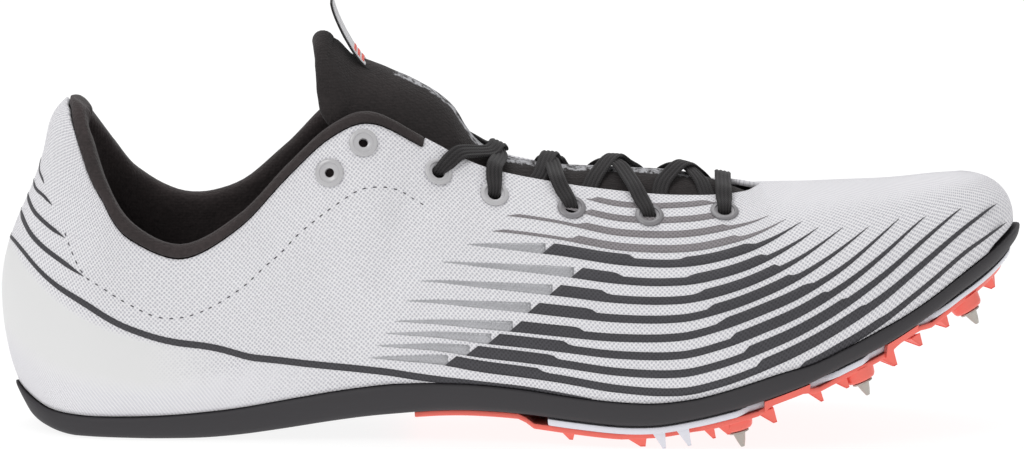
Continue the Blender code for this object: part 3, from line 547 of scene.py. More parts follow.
def through(points, k, t):
    """The curve through the points, a share t of the way from point k to the next one."""
    last = len(points) - 1
    return curve(points[max(k - 1, 0)], points[k], points[k + 1], points[min(k + 2, last)], t)


def smooth_path(points, step):
    """Places on the curve through the points, about every step millimetres."""
    found = []
    for k in range(len(points) - 1):
        count = max(1, round((points[k + 1] - points[k]).length / step))
        found += [through(points, k, t / count) for t in range(count)]
    return found + [points[-1]]


def section_value(side, row, column):
    """A value of the sections' tables, going on along the other side past the heel or toe."""
    rows = (LATERAL_SECTIONS, MEDIAL_SECTIONS)
    if row < 0:
        row, side = -row, -side
    if row > LAST_ROW:
        row, side = 2 * LAST_ROW - row, -side
    return rows[0 if side < 0 else 1][row][SECTION_COLUMNS.index(column)]


def section(side, number, column):
    i = min(int(number), LAST_ROW - 1)
    p = [section_value(side, i + k, column) for k in (-1, 0, 1, 2)]
    if column.startswith("top") and i + 1 == THROAT_ROW:
        p[3] = 2 * p[2] - p[1]
    if column.startswith("top") and i == THROAT_ROW:
        p[0] = 2 * p[1] - p[2]
    return curve(*p, number - i)


def shape(number, column):
    c = SHAPE_COLUMNS.index(column)
    i = min(int(number), LAST_ROW - 1)
    p = []
    for k in (i - 1, i, i + 1, i + 2):
        if k < 0:
            p.append(-SHAPE[-k][c] if column == "turn" else SHAPE[-k][c])
        elif k > LAST_ROW:
            mirror = SHAPE[2 * LAST_ROW - k][c]
            p.append(360 - mirror if column == "turn" else mirror)
        else:
            p.append(SHAPE[k][c])
    return curve(*p, number - i)


def table(rows, columns, x, column):
    """A column's smooth value at x, with straight ends."""
    c = columns.index(column)
    n = len(rows)
    i = 0
    while i < n - 2 and x > rows[i + 1][0]:
        i += 1
    x1, x2 = rows[i][0], rows[i + 1][0]
    y1, y2 = rows[i][c], rows[i + 1][c]
    step = x2 - x1
    slope = (y2 - y1) / step
    m1 = slope if i == 0 else (y2 - rows[i - 1][c]) / (x2 - rows[i - 1][0])
    m2 = slope if i == n - 2 else (rows[i + 2][c] - y1) / (rows[i + 2][0] - x1)
    t = (x - x1) / step
    if t < 0 or t > 1:
        return y1 + m1 * (x - x1) if t < 0 else y2 + m2 * (x - x2)
    return bend(y1, m1 * step, m2 * step, y2 - y1, t)


def sole_height(x, y, column):
    """The height of one of the sole's surfaces, with its arch raised on the medial side."""
    z = table(SOLE_PROFILE, SOLE_COLUMNS, x / SHOE_LENGTH, column) * COLLAR_HEIGHT
    arch = math.exp(-(((x - 0.40 * SHOE_LENGTH) / (0.10 * SHOE_LENGTH)) ** 2))
    z += ARCH_RISE * arch * (y / HALF_WIDTH + 0.65) / 1.15
    return max(z, 0.0)


def outward(side, number):
    turn = math.radians(shape(number, "turn"))
    return Vector((-math.cos(turn), side * math.sin(turn), 0.0))


def feather(side, number, inset=0.0):
    x = section(side, number, "foot_x") * SHOE_LENGTH
    y = section(side, number, "foot_y") * HALF_WIDTH
    way = outward(side, number)
    return Vector((x - way.x * inset, y - way.y * inset, 0.0))


def top_point(side, number):
    return Vector((
        section(side, number, "top_x") * SHOE_LENGTH,
        section(side, number, "top_y") * HALF_WIDTH,
        section(side, number, "top_z") * COLLAR_HEIGHT,
    ))


@functools.lru_cache(maxsize=None)
def rib(side, number):
    """The four control points of the skin's line up a section, and its straight length."""
    foot = feather(side, number)
    foot.z = sole_height(foot.x, foot.y, "feather") + GAP
    top = top_point(side, number)
    way = outward(side, number)
    length = (top - foot).length
    low = math.radians(shape(number, "lean_low"))
    high = math.radians(shape(number, "lean_high"))
    start = way * math.sin(low) + Vector((0, 0, math.cos(low)))
    end = way * -math.sin(high) + Vector((0, 0, math.cos(high)))
    return (
        foot,
        foot + start * length * shape(number, "pull_low"),
        top - end * length * shape(number, "pull_high"),
        top,
        length,
    )


def skin(side, number, up):
    """The upper's outer surface: up runs from 0 at the feather line to 1 at the top line."""
    a, b, c, d, _ = rib(side, number)
    if up > 1.0:
        return d + (d - c) * 3 * (up - 1.0)
    w = 1.0 - up
    return a * w ** 3 + b * 3 * w * w * up + c * 3 * w * up * up + d * up ** 3


def skin_out(side, number, up):
    """The way out of the skin."""
    e = 0.02
    lo = min(max(up, 0.0), 1.0 - e)
    along = wrapped(side, number + e, lo) - wrapped(side, number - e, lo)
    rise = skin(side, number, lo + e) - skin(side, number, lo)
    n = along.cross(rise) * -side
    return n.normalized()


def wrapped(side, number, up):
    if number < 0:
        return skin(-side, -number, up)
    if number > LAST_ROW:
        return skin(-side, 2 * LAST_ROW - number, up)
    return skin(side, number, up)


def up_at(side, number, down):
    """The share of a section that lies at a distance below the top line, millimetres."""
    return 1.0 - down / rib(side, number)[4]


def skin_at(side, number, down, out=0.0):
    """A point at a distance below the top line and off the outer surface, millimetres."""
    up = up_at(side, number, down)
    return skin(side, number, up) + skin_out(side, number, up) * out


def spread(first, last, per_section, extra=()):
    count = max(1, round((last - first) * per_section))
    numbers = [first + (last - first) * k / count for k in range(count + 1)]
    for value in extra:
        if first < value < last and min(abs(value - n) for n in numbers) > 1e-6:
            numbers.append(value)
    return sorted(numbers)


def loop_of(numbers, open_back):
    """Sections round the sole's edge: along the lateral side, back along the medial."""
    loop = [(-1, n) for n in numbers]
    back = [(1, n) for n in reversed(numbers) if n < LAST_ROW]
    if not open_back:
        back = back[:-1]
    return loop + back


# The sole's surfaces
def no_inset(x):
    return 0.0


def feather_height(x, y):
    return sole_height(x, y, "feather")


def under_height(x, y):
    return sole_height(x, y, "under")


def window(x, start, end, soft):
    """1 between two shares of the length and 0 beyond them, with soft ends."""
    share = x / SHOE_LENGTH
    return min(ramp(share, start, soft), ramp(end, share, soft))


def rim_contact(x, wider=0.0):
    return max(window(x, start - wider, end + wider, RIM_SOFT) for start, end in RIM_CONTACTS)


def rim_rise(x):
    """How much higher the tread lies where its rim climbs between the plate's windows."""
    return RIM_RISE * rim_contact(x)


def plate_inset(x):
    return PLATE_INSET + PLATE_CUT * rim_contact(x, 0.022)


def outsole_inset(x):
    return OUTSOLE_INSET + OUTSOLE_CUT * window(x, 0.610, 0.700, 0.02)


def tread_top(x, y):
    front = window(x, 0.512, 2.0, 0.012)
    return under_height(x, y) - GAP - front * (PLATE_THICKNESS + GAP)


def tread_bottom(x, y):
    return tread_top(x, y) - OUTSOLE_THICKNESS


def slope_down(x, y):
    """The way down, square to the sole's underside."""
    run = 4.0
    rise = under_height(x + run, y) - under_height(x - run, y)
    return Vector((rise, 0.0, -2 * run)).normalized()


def rim_block(side, start, end):
    """Where the outsole's rim climbs to the midsole between the plate's windows."""
    numbers = [n for n in spread(FOREFOOT_FROM, LAST_ROW, 8)
               if start <= feather(side, n).x / SHOE_LENGTH <= end]
    corners = ((2.6, 0), (4.6, 0), (5.4, 1), (3.4, 1))

    def spot(c, r):
        number = numbers[c]
        inset, low = corners[r % len(corners)]
        p = feather(side, number, inset)
        z = under_height(p.x, p.y) - GAP
        if low:
            z = tread_bottom(p.x, p.y) + 0.25 + rim_rise(p.x)
        return place(p.x, p.y, z)

    return solid(len(numbers) - 1, len(corners), spot)


# The tongue's surface
def tongue_value(x, column):
    scale = {"z": COLLAR_HEIGHT, "half": HALF_WIDTH, "drop": HALF_WIDTH}[column]
    return table(TONGUE_ROWS, TONGUE_COLUMNS, x / SHOE_LENGTH, column) * scale


def tongue_centre(x):
    """The tongue's middle drifts to the medial side towards the toe."""
    return 1.4 * ramp(x / SHOE_LENGTH, 0.52, 0.26)


def tongue_point(x, across):
    """across runs from -1 at the lateral edge to 1 at the medial edge."""
    most = TONGUE_ROUND * math.pi / 2
    angle = across * most
    y = tongue_value(x, "half") * math.sin(angle) / math.sin(most)
    fall = (1 - math.cos(angle)) / (1 - math.cos(most))
    return Vector((x, tongue_centre(x) + y, tongue_value(x, "z") - tongue_value(x, "drop") * fall))


def tongue_up(x, across):
    along = tongue_point(x + 1.0, across) - tongue_point(x - 1.0, across)
    side = tongue_point(x, across + 0.02) - tongue_point(x, across - 0.02)
    normal = along.cross(side).normalized()
    return normal if normal.z > 0 else -normal


def across_tongue(x_from, y_from, x_to, y_to, steps, lift):
    """Points of a lace resting over the tongue between two places in plan."""
    found = []
    for k in range(steps + 1):
        t = k / steps
        x = x_from + (x_to - x_from) * t
        y = y_from + (y_to - y_from) * t
        half = tongue_value(x, "half")
        most = TONGUE_ROUND * math.pi / 2
        sine = max(-0.999, min(0.999, (y - tongue_centre(x)) / half * math.sin(most)))
        across = math.asin(sine) / most
        normal = tongue_up(x, across)
        found.append((tongue_point(x, across) + normal * lift, normal))
    return found


# The upper seen from the side
def seen_height(side, p):
    """How high a place shows from the side, the medial side mirrored onto the lateral one."""
    y = p.y if side < 0 else 2 * WIDTH_CENTRE - p.y
    return p.z * math.cos(VIEW_RISE) + y * math.sin(VIEW_RISE)


@functools.lru_cache(maxsize=None)
def side_chart():
    """Coarse places on the lateral skin, to start a search from."""
    found = []
    for n in range(0, 4 * LAST_ROW + 1):
        for k in range(0, 21):
            p = skin(-1, n / 4, k / 20)
            found.append((p.x, seen_height(-1, p), n / 4, k / 20))
    return found


def side_spot(x, height):
    """The section number and share of the rib that are seen from the side at x and height."""
    start = min(side_chart(), key=lambda s: (s[0] - x) ** 2 + (s[1] - height) ** 2)
    n, up = start[2], start[3]
    for _ in range(7):
        p = skin(-1, n, up)
        step = 0.01 if n < LAST_ROW - 0.02 else -0.01
        pn = skin(-1, n + step, up)
        pu = skin(-1, n, up + 0.01)
        ax, ay = (pn.x - p.x) / step, (seen_height(-1, pn) - seen_height(-1, p)) / step
        bx, by = (pu.x - p.x) / 0.01, (seen_height(-1, pu) - seen_height(-1, p)) / 0.01
        det = ax * by - ay * bx
        if abs(det) < 1e-6:
            break
        ex, ey = x - p.x, height - seen_height(-1, p)
        n += max(-0.5, min(0.5, (ex * by - ey * bx) / det))
        up += max(-0.1, min(0.1, (ax * ey - ay * ex) / det))
        n = max(0.0, min(LAST_ROW, n))
        up = clamp(up)
    return n, up


def crease(side, p):
    """How far the soft troughs sink the skin there, millimetres."""
    height = seen_height(side, p)
    sunk = 0.0
    for x1, h1, x2, h2, wide, deep in TROUGHS:
        along = Vector((x2 - x1, h2 - h1))
        way = Vector((p.x - x1, height - h1))
        t = clamp(way.dot(along) / along.length_squared)
        away = (way - along * t).length / wide
        sunk += deep * math.exp(-away * away)
    return sunk


def skin_made(side, number, up, out=0.0):
    """The finished skin, with its creases and the cloth's slight unevenness."""
    p = wrapped(side, number, up)
    n = skin_out(side, number, up)
    full = sum(by * math.exp(-((p.z - z) / tall) ** 2) for z, tall, by in HEEL_FULLNESS)
    full *= math.exp(-(number / HEEL_ROUND) ** 2)
    return p + n * (out + uneven(p, CLOTH_WAVES) + full - crease(side, p))


@functools.lru_cache(maxsize=None)
def girth():
    """Length along each side at mid height, section by section, millimetres."""
    sums = {}
    for side in (-1, 1):
        total = 0.0
        before = skin(side, 0.0, 0.5)
        sums[side, 0] = 0.0
        for k in range(1, 4 * LAST_ROW + 1):
            here = skin(side, k / 4, 0.5)
            total += (here - before).length
            sums[side, k] = total
            before = here
    return sums


def cloth_uv(side, number, up):
    """Where the cloth's pattern lies there, in metres of cloth."""
    k = min(abs(number), LAST_ROW - 0.001) * 4
    low = int(k)
    sums = girth()
    u = sums[side, low] + (sums[side, low + 1] - sums[side, low]) * (k - low)
    return (side * u * 0.001, up * rib(side, min(abs(number), LAST_ROW))[4] * 0.001)


# Colours and materials
# Sizes of the materials' patterns, millimetres: slow changes of tone in the mesh and in the
# print, the knit's nap and its brushed patches, the tongue's silver flecks, cloudiness of
# moulded parts and tool marks on the steel. The nap's fibres, the tape's ribs and the tool marks
# are finer than the render can show, so they are drawn as coarse as they need to show.
CLOTH_DRIFT = 22.2
INK_DRIFT = 6.25
NAP = 1.11
NAP_PATCH = 18.2
FLECK = 1.92
MOULD_CLOUD = 16.7
TOOL_MARK = 0.714
TAPE_RIB = 0.5


def linear(code):
    """An sRGB hex colour as linear red, green and blue."""
    parts = [int(code[i:i + 2], 16) / 255 for i in (0, 2, 4)]
    return tuple(c / 12.92 if c <= 0.04045 else ((c + 0.055) / 1.055) ** 2.4 for c in parts)


def colour(name, description, code):
    return FloatVectorProperty(
        name=name, description=description, subtype="COLOR", size=3, min=0.0, max=1.0,
        default=linear(code),
    )


def millimetres(name, description, default):
    return FloatProperty(name=name, description=description, default=default, min=0.01)


class TrackSpikeColours(bpy.types.PropertyGroup):
    mesh: colour("Mesh", "Knitted polyester of the upper", "F3F2F5")
    mesh_hole: colour("Mesh hole", "Shade inside the knit's holes", "B4B3BD")
    film: colour("Heel film", "Smooth film fused to the heel quarter", "E4E4E4")
    ink_dark: colour("Dark ink", "Charcoal print", "434247")
    ink_light: colour("Light ink", "Grey print of the upper stripes", "8D888B")
    ink_silver: colour("Silver ink", "Metallic print of the stripes' tails", "B6B6BA")
    thread: colour("Thread", "Punched stitches below the collar", "545257")
    collar: colour("Collar", "Brushed knit of the padded collar", "342D2D")
    lining: colour("Lining", "Knit inside the shoe", "1F1B1B")
    tongue: colour("Tongue", "Knit over the tongue's foam", "241F1F")
    speckle: colour("Tongue speckle", "Silver yarn down the tongue's middle", "B4B4B8")
    lace: colour("Lace", "Flat braided cord", "201E1F")
    midsole: colour("Midsole", "Dark moulded foam", "343235")
    plate: colour("Plate", "White moulded nylon", "E6E6EE")
    coral: colour("Outsole", "Coral moulded elastomer", "FF7264")
    insole: colour("Insole", "Cloth of the footbed", "8A8789")
    tape: colour("Pull tab", "White woven tape", "E4E4E6")
    eyelet_pale: colour("Rear eyelets", "Clear moulded polyurethane", "BFBEC0")
    eyelet_grey: colour("Front eyelets", "Smoke moulded polyurethane", "858386")
    steel: colour("Spikes", "Turned steel", "B4AFA8")
    floor: colour("Floor", "Pale studio sweep", "707070")


class TrackSpikeSizes(bpy.types.PropertyGroup):
    hole_pitch: millimetres("Hole pitch", "Distance between the mesh's holes in a row, mm", 1.3)
    print_lift: millimetres("Print lift", "How far the print stands off the cloth, mm", 0.12)
    rib_pitch: millimetres("Rib pitch", "Distance between the knit's fine ribs, mm", 0.9)
    knit_pitch: millimetres("Knit pitch", "Loop spacing of the collar and tongue knit, mm", 0.8)
    braid_pitch: millimetres("Braid pitch", "Spacing of the lace's braid, mm", 0.55)
    lace_step: millimetres("Lace step", "Distance between the lace's rings, mm", 0.75)
    skin_columns: IntProperty(name="Skin columns", description="Columns a section", default=8)
    skin_rows: IntProperty(name="Skin rows", description="Rows up the upper", default=56)


def colours():
    return bpy.context.scene.track_spike_colours


def sizes():
    return bpy.context.scene.track_spike_sizes


def feed(tree, node, inputs):
    """Gives a node's inputs their values or links."""
    for name, value in dict(inputs).items():
        if isinstance(value, bpy.types.NodeSocket):
            tree.links.new(value, node.inputs[name])
        else:
            node.inputs[name].default_value = value


def add(tree, kind, inputs=(), **settings):
    """Adds a node with its settings, its values and its links."""
    made = tree.nodes.new(kind)
    for name, value in settings.items():
        setattr(made, name, value)
    feed(tree, made, inputs)
    return made


def tint(base, factor=1.0):
    return (*[min(c * factor, 1.0) for c in base], 1.0)


def new_material(name, base, rough, metal=0.0, **sockets):
    """A material and its shader. A socket is named as in sheen_weight=0.1."""
    made = bpy.data.materials.new(name)
    made.use_nodes = True
    shader = made.node_tree.nodes["Principled BSDF"]
    inputs = {"Base Color": tint(base), "Roughness": rough, "Metallic": metal}
    for key, value in sockets.items():
        inputs[key.replace("_", " ").title()] = value
    feed(made.node_tree, shader, inputs)
    return made, made.node_tree, shader


def shared(name, maker, *values, **sockets):
    """The material of that name, made when it is first asked for."""
    return bpy.data.materials.get(name) or maker(name, *values, **sockets)


def per_metre(size):
    """How many of a pattern's marks fit in a metre, from the size of one in millimetres."""
    return 1000.0 / size


def cloth_holes(tree, pitch):
    """Staggered round holes on the cloth map, as 1 in a hole and 0 on the yarn."""
    cloth = add(tree, "ShaderNodeUVMap", uv_map="cloth")
    turned = add(tree, "ShaderNodeMapping", {
        "Vector": cloth.outputs["UV"],
        "Rotation": (0.0, 0.0, math.radians(45)),
        "Scale": (1.414 * per_metre(pitch),) * 3,
    })
    cells = add(tree, "ShaderNodeTexVoronoi", {
        "Vector": turned.outputs["Vector"], "Scale": 1.0, "Randomness": 0.12,
    }, voronoi_dimensions="2D")
    hole = add(tree, "ShaderNodeMapRange", {
        "Value": cells.outputs["Distance"], "From Min": 0.2, "From Max": 0.42,
        "To Min": 1.0, "To Max": 0.0,
    })
    return cloth, hole


def knit_ribs(tree, vector, pitch, turn):
    """Fine ribs of a knit along one way, 0 to 1."""
    turned = add(tree, "ShaderNodeMapping", {
        "Vector": vector,
        "Rotation": (0.0, 0.0, math.radians(turn)),
        "Scale": (per_metre(pitch),) * 3,
    })
    return add(tree, "ShaderNodeTexWave", {
        "Vector": turned.outputs["Vector"], "Scale": 1.0 / math.pi, "Distortion": 0.6,
        "Detail": 1.0,
    })


def mesh_material(name):
    """Engineered polyester mesh: matt white yarn, pinholes and rib grooves in painted grey shade,
    smooth fused film at the heel.
    """
    base = colours().mesh
    made, tree, shader = new_material(
        name, base, rough=0.86, sheen_weight=0.15, sheen_roughness=0.5)
    cloth, hole = cloth_holes(tree, sizes().hole_pitch)
    film = add(tree, "ShaderNodeAttribute", attribute_name="film")
    ribs = add(tree, "ShaderNodeAttribute", attribute_name="ribs")
    bare = add(tree, "ShaderNodeMath", {0: 1.0, 1: film.outputs["Fac"]}, operation="SUBTRACT")
    round_part = add(tree, "ShaderNodeMath", {0: 1.0, 1: ribs.outputs["Fac"]}, operation="SUBTRACT")
    holes = add(tree, "ShaderNodeMath", {
        0: hole.outputs["Result"], 1: round_part.outputs[0],
    }, operation="MULTIPLY")
    rib = knit_ribs(tree, cloth.outputs["UV"], sizes().rib_pitch, 38)
    rib_part = add(tree, "ShaderNodeMath", {
        0: rib.outputs["Fac"], 1: ribs.outputs["Fac"],
    }, operation="MULTIPLY")
    sunk = add(tree, "ShaderNodeMath", {
        0: rib_part.outputs[0], 1: 0.55, 2: holes.outputs[0],
    }, operation="MULTIPLY_ADD")
    shown = add(tree, "ShaderNodeMath", {
        0: sunk.outputs[0], 1: bare.outputs[0],
    }, operation="MULTIPLY")
    # Painted shade in the pinholes and between the fine ribs, none on the film.
    shade = add(tree, "ShaderNodeMath", {0: shown.outputs[0], 1: 0.7}, operation="MULTIPLY")
    drift = add(tree, "ShaderNodeTexNoise", {
        "Vector": cloth.outputs["UV"], "Scale": per_metre(CLOTH_DRIFT), "Detail": 2.0,
    })
    tone = add(tree, "ShaderNodeMix", {
        "Factor": drift.outputs["Fac"], "A": tint(base), "B": tint(base, 0.95),
    }, data_type="RGBA")
    filmed = add(tree, "ShaderNodeMix", {
        "Factor": film.outputs["Fac"], "A": tone.outputs["Result"], "B": tint(colours().film),
    }, data_type="RGBA")
    dotted = add(tree, "ShaderNodeMix", {
        "Factor": shade.outputs[0], "A": filmed.outputs["Result"], "B": tint(colours().mesh_hole),
    }, data_type="RGBA")
    gloss = add(tree, "ShaderNodeMapRange", {
        "Value": film.outputs["Fac"], "To Min": 0.86, "To Max": 0.42,
    })
    raised = add(tree, "ShaderNodeMath", {0: 1.0, 1: shown.outputs[0]}, operation="SUBTRACT")
    relief = add(tree, "ShaderNodeBump", {
        "Height": raised.outputs[0], "Distance": 0.00022, "Strength": 0.8,
    })
    feed(tree, shader, {
        "Base Color": dotted.outputs["Result"], "Roughness": gloss.outputs["Result"],
        "Normal": relief.outputs["Normal"],
    })
    return made


def ink_material(name, base, rough, metal, holes_shown):
    """Screen print on the mesh: a thin film that lets the pinholes show faintly as dots of painted
    shade.
    """
    made, tree, shader = new_material(name, base, rough, metal)
    cloth, hole = cloth_holes(tree, sizes().hole_pitch)
    drift = add(tree, "ShaderNodeTexNoise", {
        "Vector": cloth.outputs["UV"], "Scale": per_metre(INK_DRIFT), "Detail": 3.0,
    })
    amount = add(tree, "ShaderNodeMath", {
        0: hole.outputs["Result"], 1: holes_shown,
    }, operation="MULTIPLY")
    tone = add(tree, "ShaderNodeMix", {
        "Factor": drift.outputs["Fac"], "A": tint(base, 0.85), "B": tint(base, 1.18),
    }, data_type="RGBA")
    # Painted shade in the pinholes under the ink.
    dotted = add(tree, "ShaderNodeMix", {
        "Factor": amount.outputs[0], "A": tone.outputs["Result"], "B": tint(base, 0.3),
    }, data_type="RGBA")
    raised = add(tree, "ShaderNodeMath", {0: 1.0, 1: hole.outputs["Result"]}, operation="SUBTRACT")
    relief = add(tree, "ShaderNodeBump", {
        "Height": raised.outputs[0], "Distance": 0.0002, "Strength": 0.8,
    })
    feed(tree, shader, {
        "Base Color": dotted.outputs["Result"], "Normal": relief.outputs["Normal"],
    })
    return made


def knit_material(name, base, pitch, sheen):
    """Brushed polyester knit: rows of tiny loops under a soft nap, dull with a pale edge."""
    made, tree, shader = new_material(
        name, base, rough=0.92, sheen_weight=sheen, sheen_roughness=0.45)
    place_node = add(tree, "ShaderNodeTexCoord")
    loops = add(tree, "ShaderNodeTexVoronoi", {
        "Vector": place_node.outputs["Object"], "Scale": per_metre(pitch), "Randomness": 0.55,
    })
    nap = add(tree, "ShaderNodeTexNoise", {
        "Vector": place_node.outputs["Object"], "Scale": per_metre(NAP), "Detail": 4.0,
    })
    patch = add(tree, "ShaderNodeTexNoise", {
        "Vector": place_node.outputs["Object"], "Scale": per_metre(NAP_PATCH), "Detail": 3.0,
    })
    height = add(tree, "ShaderNodeMath", {
        0: nap.outputs["Fac"], 1: 0.5, 2: loops.outputs["Distance"],
    }, operation="MULTIPLY_ADD")
    spread_tone = add(tree, "ShaderNodeMath", {
        0: nap.outputs["Fac"], 1: patch.outputs["Fac"],
    }, operation="MULTIPLY")
    tone = add(tree, "ShaderNodeMapRange", {
        "Value": spread_tone.outputs[0], "From Min": 0.12, "From Max": 0.4,
        "To Min": 0.0, "To Max": 1.0,
    })
    mixed = add(tree, "ShaderNodeMix", {
        "Factor": tone.outputs["Result"], "A": tint(base, 0.72), "B": tint(base, 1.35),
    }, data_type="RGBA")
    relief = add(tree, "ShaderNodeBump", {
        "Height": height.outputs[0], "Distance": 0.0003, "Strength": 0.7,
    })
    feed(tree, shader, {
        "Base Color": mixed.outputs["Result"], "Normal": relief.outputs["Normal"],
    })
    return made


def tongue_material(name):
    """Knit over foam with silver yarn flecked through a strip down the middle."""
    made = knit_material(name, colours().tongue, sizes().knit_pitch, sheen=0.06)
    tree = made.node_tree
    shader = tree.nodes["Principled BSDF"]
    base = shader.inputs["Base Color"].links[0].from_socket
    cloth = add(tree, "ShaderNodeUVMap", uv_map="cloth")
    strip = add(tree, "ShaderNodeAttribute", attribute_name="strip")
    flecks = add(tree, "ShaderNodeTexNoise", {
        "Vector": cloth.outputs["UV"], "Scale": per_metre(FLECK), "Detail": 3.0, "Roughness": 0.7,
    })
    shown = add(tree, "ShaderNodeMath", {
        0: flecks.outputs["Fac"], 1: strip.outputs["Fac"],
    }, operation="MULTIPLY")
    sharp = add(tree, "ShaderNodeMapRange", {
        "Value": shown.outputs[0], "From Min": 0.40, "From Max": 0.56,
    })
    mixed = add(tree, "ShaderNodeMix", {
        "Factor": sharp.outputs["Result"], "A": base, "B": tint(colours().speckle),
    }, data_type="RGBA")
    feed(tree, shader, {"Base Color": mixed.outputs["Result"]})
    return made


def lace_material(name):
    """Braided polyester: a fine herringbone along the cord, dull black."""
    base = colours().lace
    made, tree, shader = new_material(
        name, base, rough=0.82, sheen_weight=0.1, sheen_roughness=0.4)
    cloth = add(tree, "ShaderNodeUVMap", uv_map="cloth")
    one = knit_ribs(tree, cloth.outputs["UV"], sizes().braid_pitch, 35)
    two = knit_ribs(tree, cloth.outputs["UV"], sizes().braid_pitch, -35)
    height = add(tree, "ShaderNodeMath", {
        0: one.outputs["Fac"], 1: two.outputs["Fac"],
    }, operation="MAXIMUM")
    ribs = knit_ribs(tree, cloth.outputs["UV"], LACE_WIDTH / 4, 0)
    tall = add(tree, "ShaderNodeMath", {
        0: ribs.outputs["Fac"], 1: 0.7, 2: height.outputs[0],
    }, operation="MULTIPLY_ADD")
    # Painted shade in the braid's grooves and painted highlight on its ribs: the colour follows the
    # relief.
    tone = add(tree, "ShaderNodeMapRange", {
        "Value": tall.outputs[0], "From Min": 0.3, "From Max": 1.6,
    })
    mixed = add(tree, "ShaderNodeMix", {
        "Factor": tone.outputs["Result"], "A": tint(base, 0.3), "B": tint(base, 2.1),
    }, data_type="RGBA")
    relief = add(tree, "ShaderNodeBump", {
        "Height": tall.outputs[0], "Distance": 0.00012, "Strength": 0.8,
    })
    feed(tree, shader, {
        "Base Color": mixed.outputs["Result"], "Normal": relief.outputs["Normal"],
    })
    return made


def moulded_material(name, base, rough, grain, depth, **sockets):
    """A moulded part: even colour with a fine spark texture from the tool's surface."""
    made, tree, shader = new_material(name, base, rough, **sockets)
    place_node = add(tree, "ShaderNodeTexCoord")
    spark = add(tree, "ShaderNodeTexNoise", {
        "Vector": place_node.outputs["Object"], "Scale": per_metre(grain), "Detail": 3.0,
    })
    cloud = add(tree, "ShaderNodeTexNoise", {
        "Vector": place_node.outputs["Object"], "Scale": per_metre(MOULD_CLOUD), "Detail": 2.0,
    })
    mixed = add(tree, "ShaderNodeMix", {
        "Factor": cloud.outputs["Fac"], "A": tint(base, 0.9), "B": tint(base, 1.08),
    }, data_type="RGBA")
    wear = add(tree, "ShaderNodeMapRange", {
        "Value": cloud.outputs["Fac"], "To Min": rough - 0.06, "To Max": rough + 0.08,
    })
    relief = add(tree, "ShaderNodeBump", {
        "Height": spark.outputs["Fac"], "Distance": depth * 0.001, "Strength": 0.6,
    })
    feed(tree, shader, {
        "Base Color": mixed.outputs["Result"], "Roughness": wear.outputs["Result"],
        "Normal": relief.outputs["Normal"],
    })
    return made


def steel_material(name):
    """Turned carbon steel with fine tool rings, bright with a brown cast."""
    made, tree, shader = new_material(name, colours().steel, rough=0.3, metal=1.0)
    place_node = add(tree, "ShaderNodeTexCoord")
    rings = add(tree, "ShaderNodeTexNoise", {
        "Vector": place_node.outputs["Object"], "Scale": per_metre(TOOL_MARK), "Detail": 2.0,
    })
    rough = add(tree, "ShaderNodeMapRange", {
        "Value": rings.outputs["Fac"], "To Min": 0.2, "To Max": 0.42,
    })
    relief = add(tree, "ShaderNodeBump", {
        "Height": rings.outputs["Fac"], "Distance": 0.00003, "Strength": 0.5,
    })
    feed(tree, shader, {
        "Roughness": rough.outputs["Result"], "Normal": relief.outputs["Normal"],
    })
    return made


def tape_material(name, base):
    """Woven polyester tape: fine square ribs across its length, with painted shade between them."""
    made, tree, shader = new_material(name, base, rough=0.8)
    cloth = add(tree, "ShaderNodeUVMap", uv_map="cloth")
    ribs = knit_ribs(tree, cloth.outputs["UV"], TAPE_RIB, 90)
    # Painted shade in the grooves between the ribs: the colour darkens where the relief is low.
    mixed = add(tree, "ShaderNodeMix", {
        "Factor": ribs.outputs["Fac"], "A": tint(base, 0.8), "B": tint(base),
    }, data_type="RGBA")
    relief = add(tree, "ShaderNodeBump", {
        "Height": ribs.outputs["Fac"], "Distance": 0.0001, "Strength": 0.8,
    })
    feed(tree, shader, {
        "Base Color": mixed.outputs["Result"], "Normal": relief.outputs["Normal"],
    })
    return made


# Building helpers
def grid(columns, rows, spot, uv=None, marks=None):
    """A rectangular sheet with each vertex moved to spot(column, row)."""
    bm = bmesh.new()
    bmesh.ops.create_grid(bm, x_segments=columns, y_segments=rows, size=0.5)
    cloth = bm.loops.layers.uv.new("cloth") if uv else None
    layers = {name: bm.verts.layers.float.new(name) for name in marks[0]} if marks else {}
    for vert in bm.verts:
        c = round((vert.co.x + 0.5) * columns)
        r = round((vert.co.y + 0.5) * rows)
        if uv:
            here = uv(c, r)
            for loop in vert.link_loops:
                loop[cloth].uv = here
        if marks:
            for name, value in zip(marks[0], marks[1](c, r)):
                vert[layers[name]] = value
        vert.co = spot(c, r)
    return bm


def weld(bm, apart=0.00001):
    bmesh.ops.remove_doubles(bm, verts=bm.verts, dist=apart)
    bmesh.ops.dissolve_degenerate(bm, edges=bm.edges, dist=0.00001)


def close_up(bm):
    edges = [e for e in bm.edges if e.is_boundary]
    if edges:
        bmesh.ops.holes_fill(bm, edges=edges, sides=0)
    bmesh.ops.recalc_face_normals(bm, faces=bm.faces)
    if bm.calc_volume(signed=True) < 0:
        bmesh.ops.reverse_faces(bm, faces=bm.faces)


def solid(columns, rows, spot, uv=None):
    """A sheet that meets itself round a piece, welded there and closed at its ends."""
    bm = grid(columns, rows, spot, uv)
    weld(bm)
    close_up(bm)
    return bm


def put(name, data):
    """A new object in the scene."""
    made = bpy.data.objects.new(name, data)
    bpy.context.scene.collection.objects.link(made)
    return made


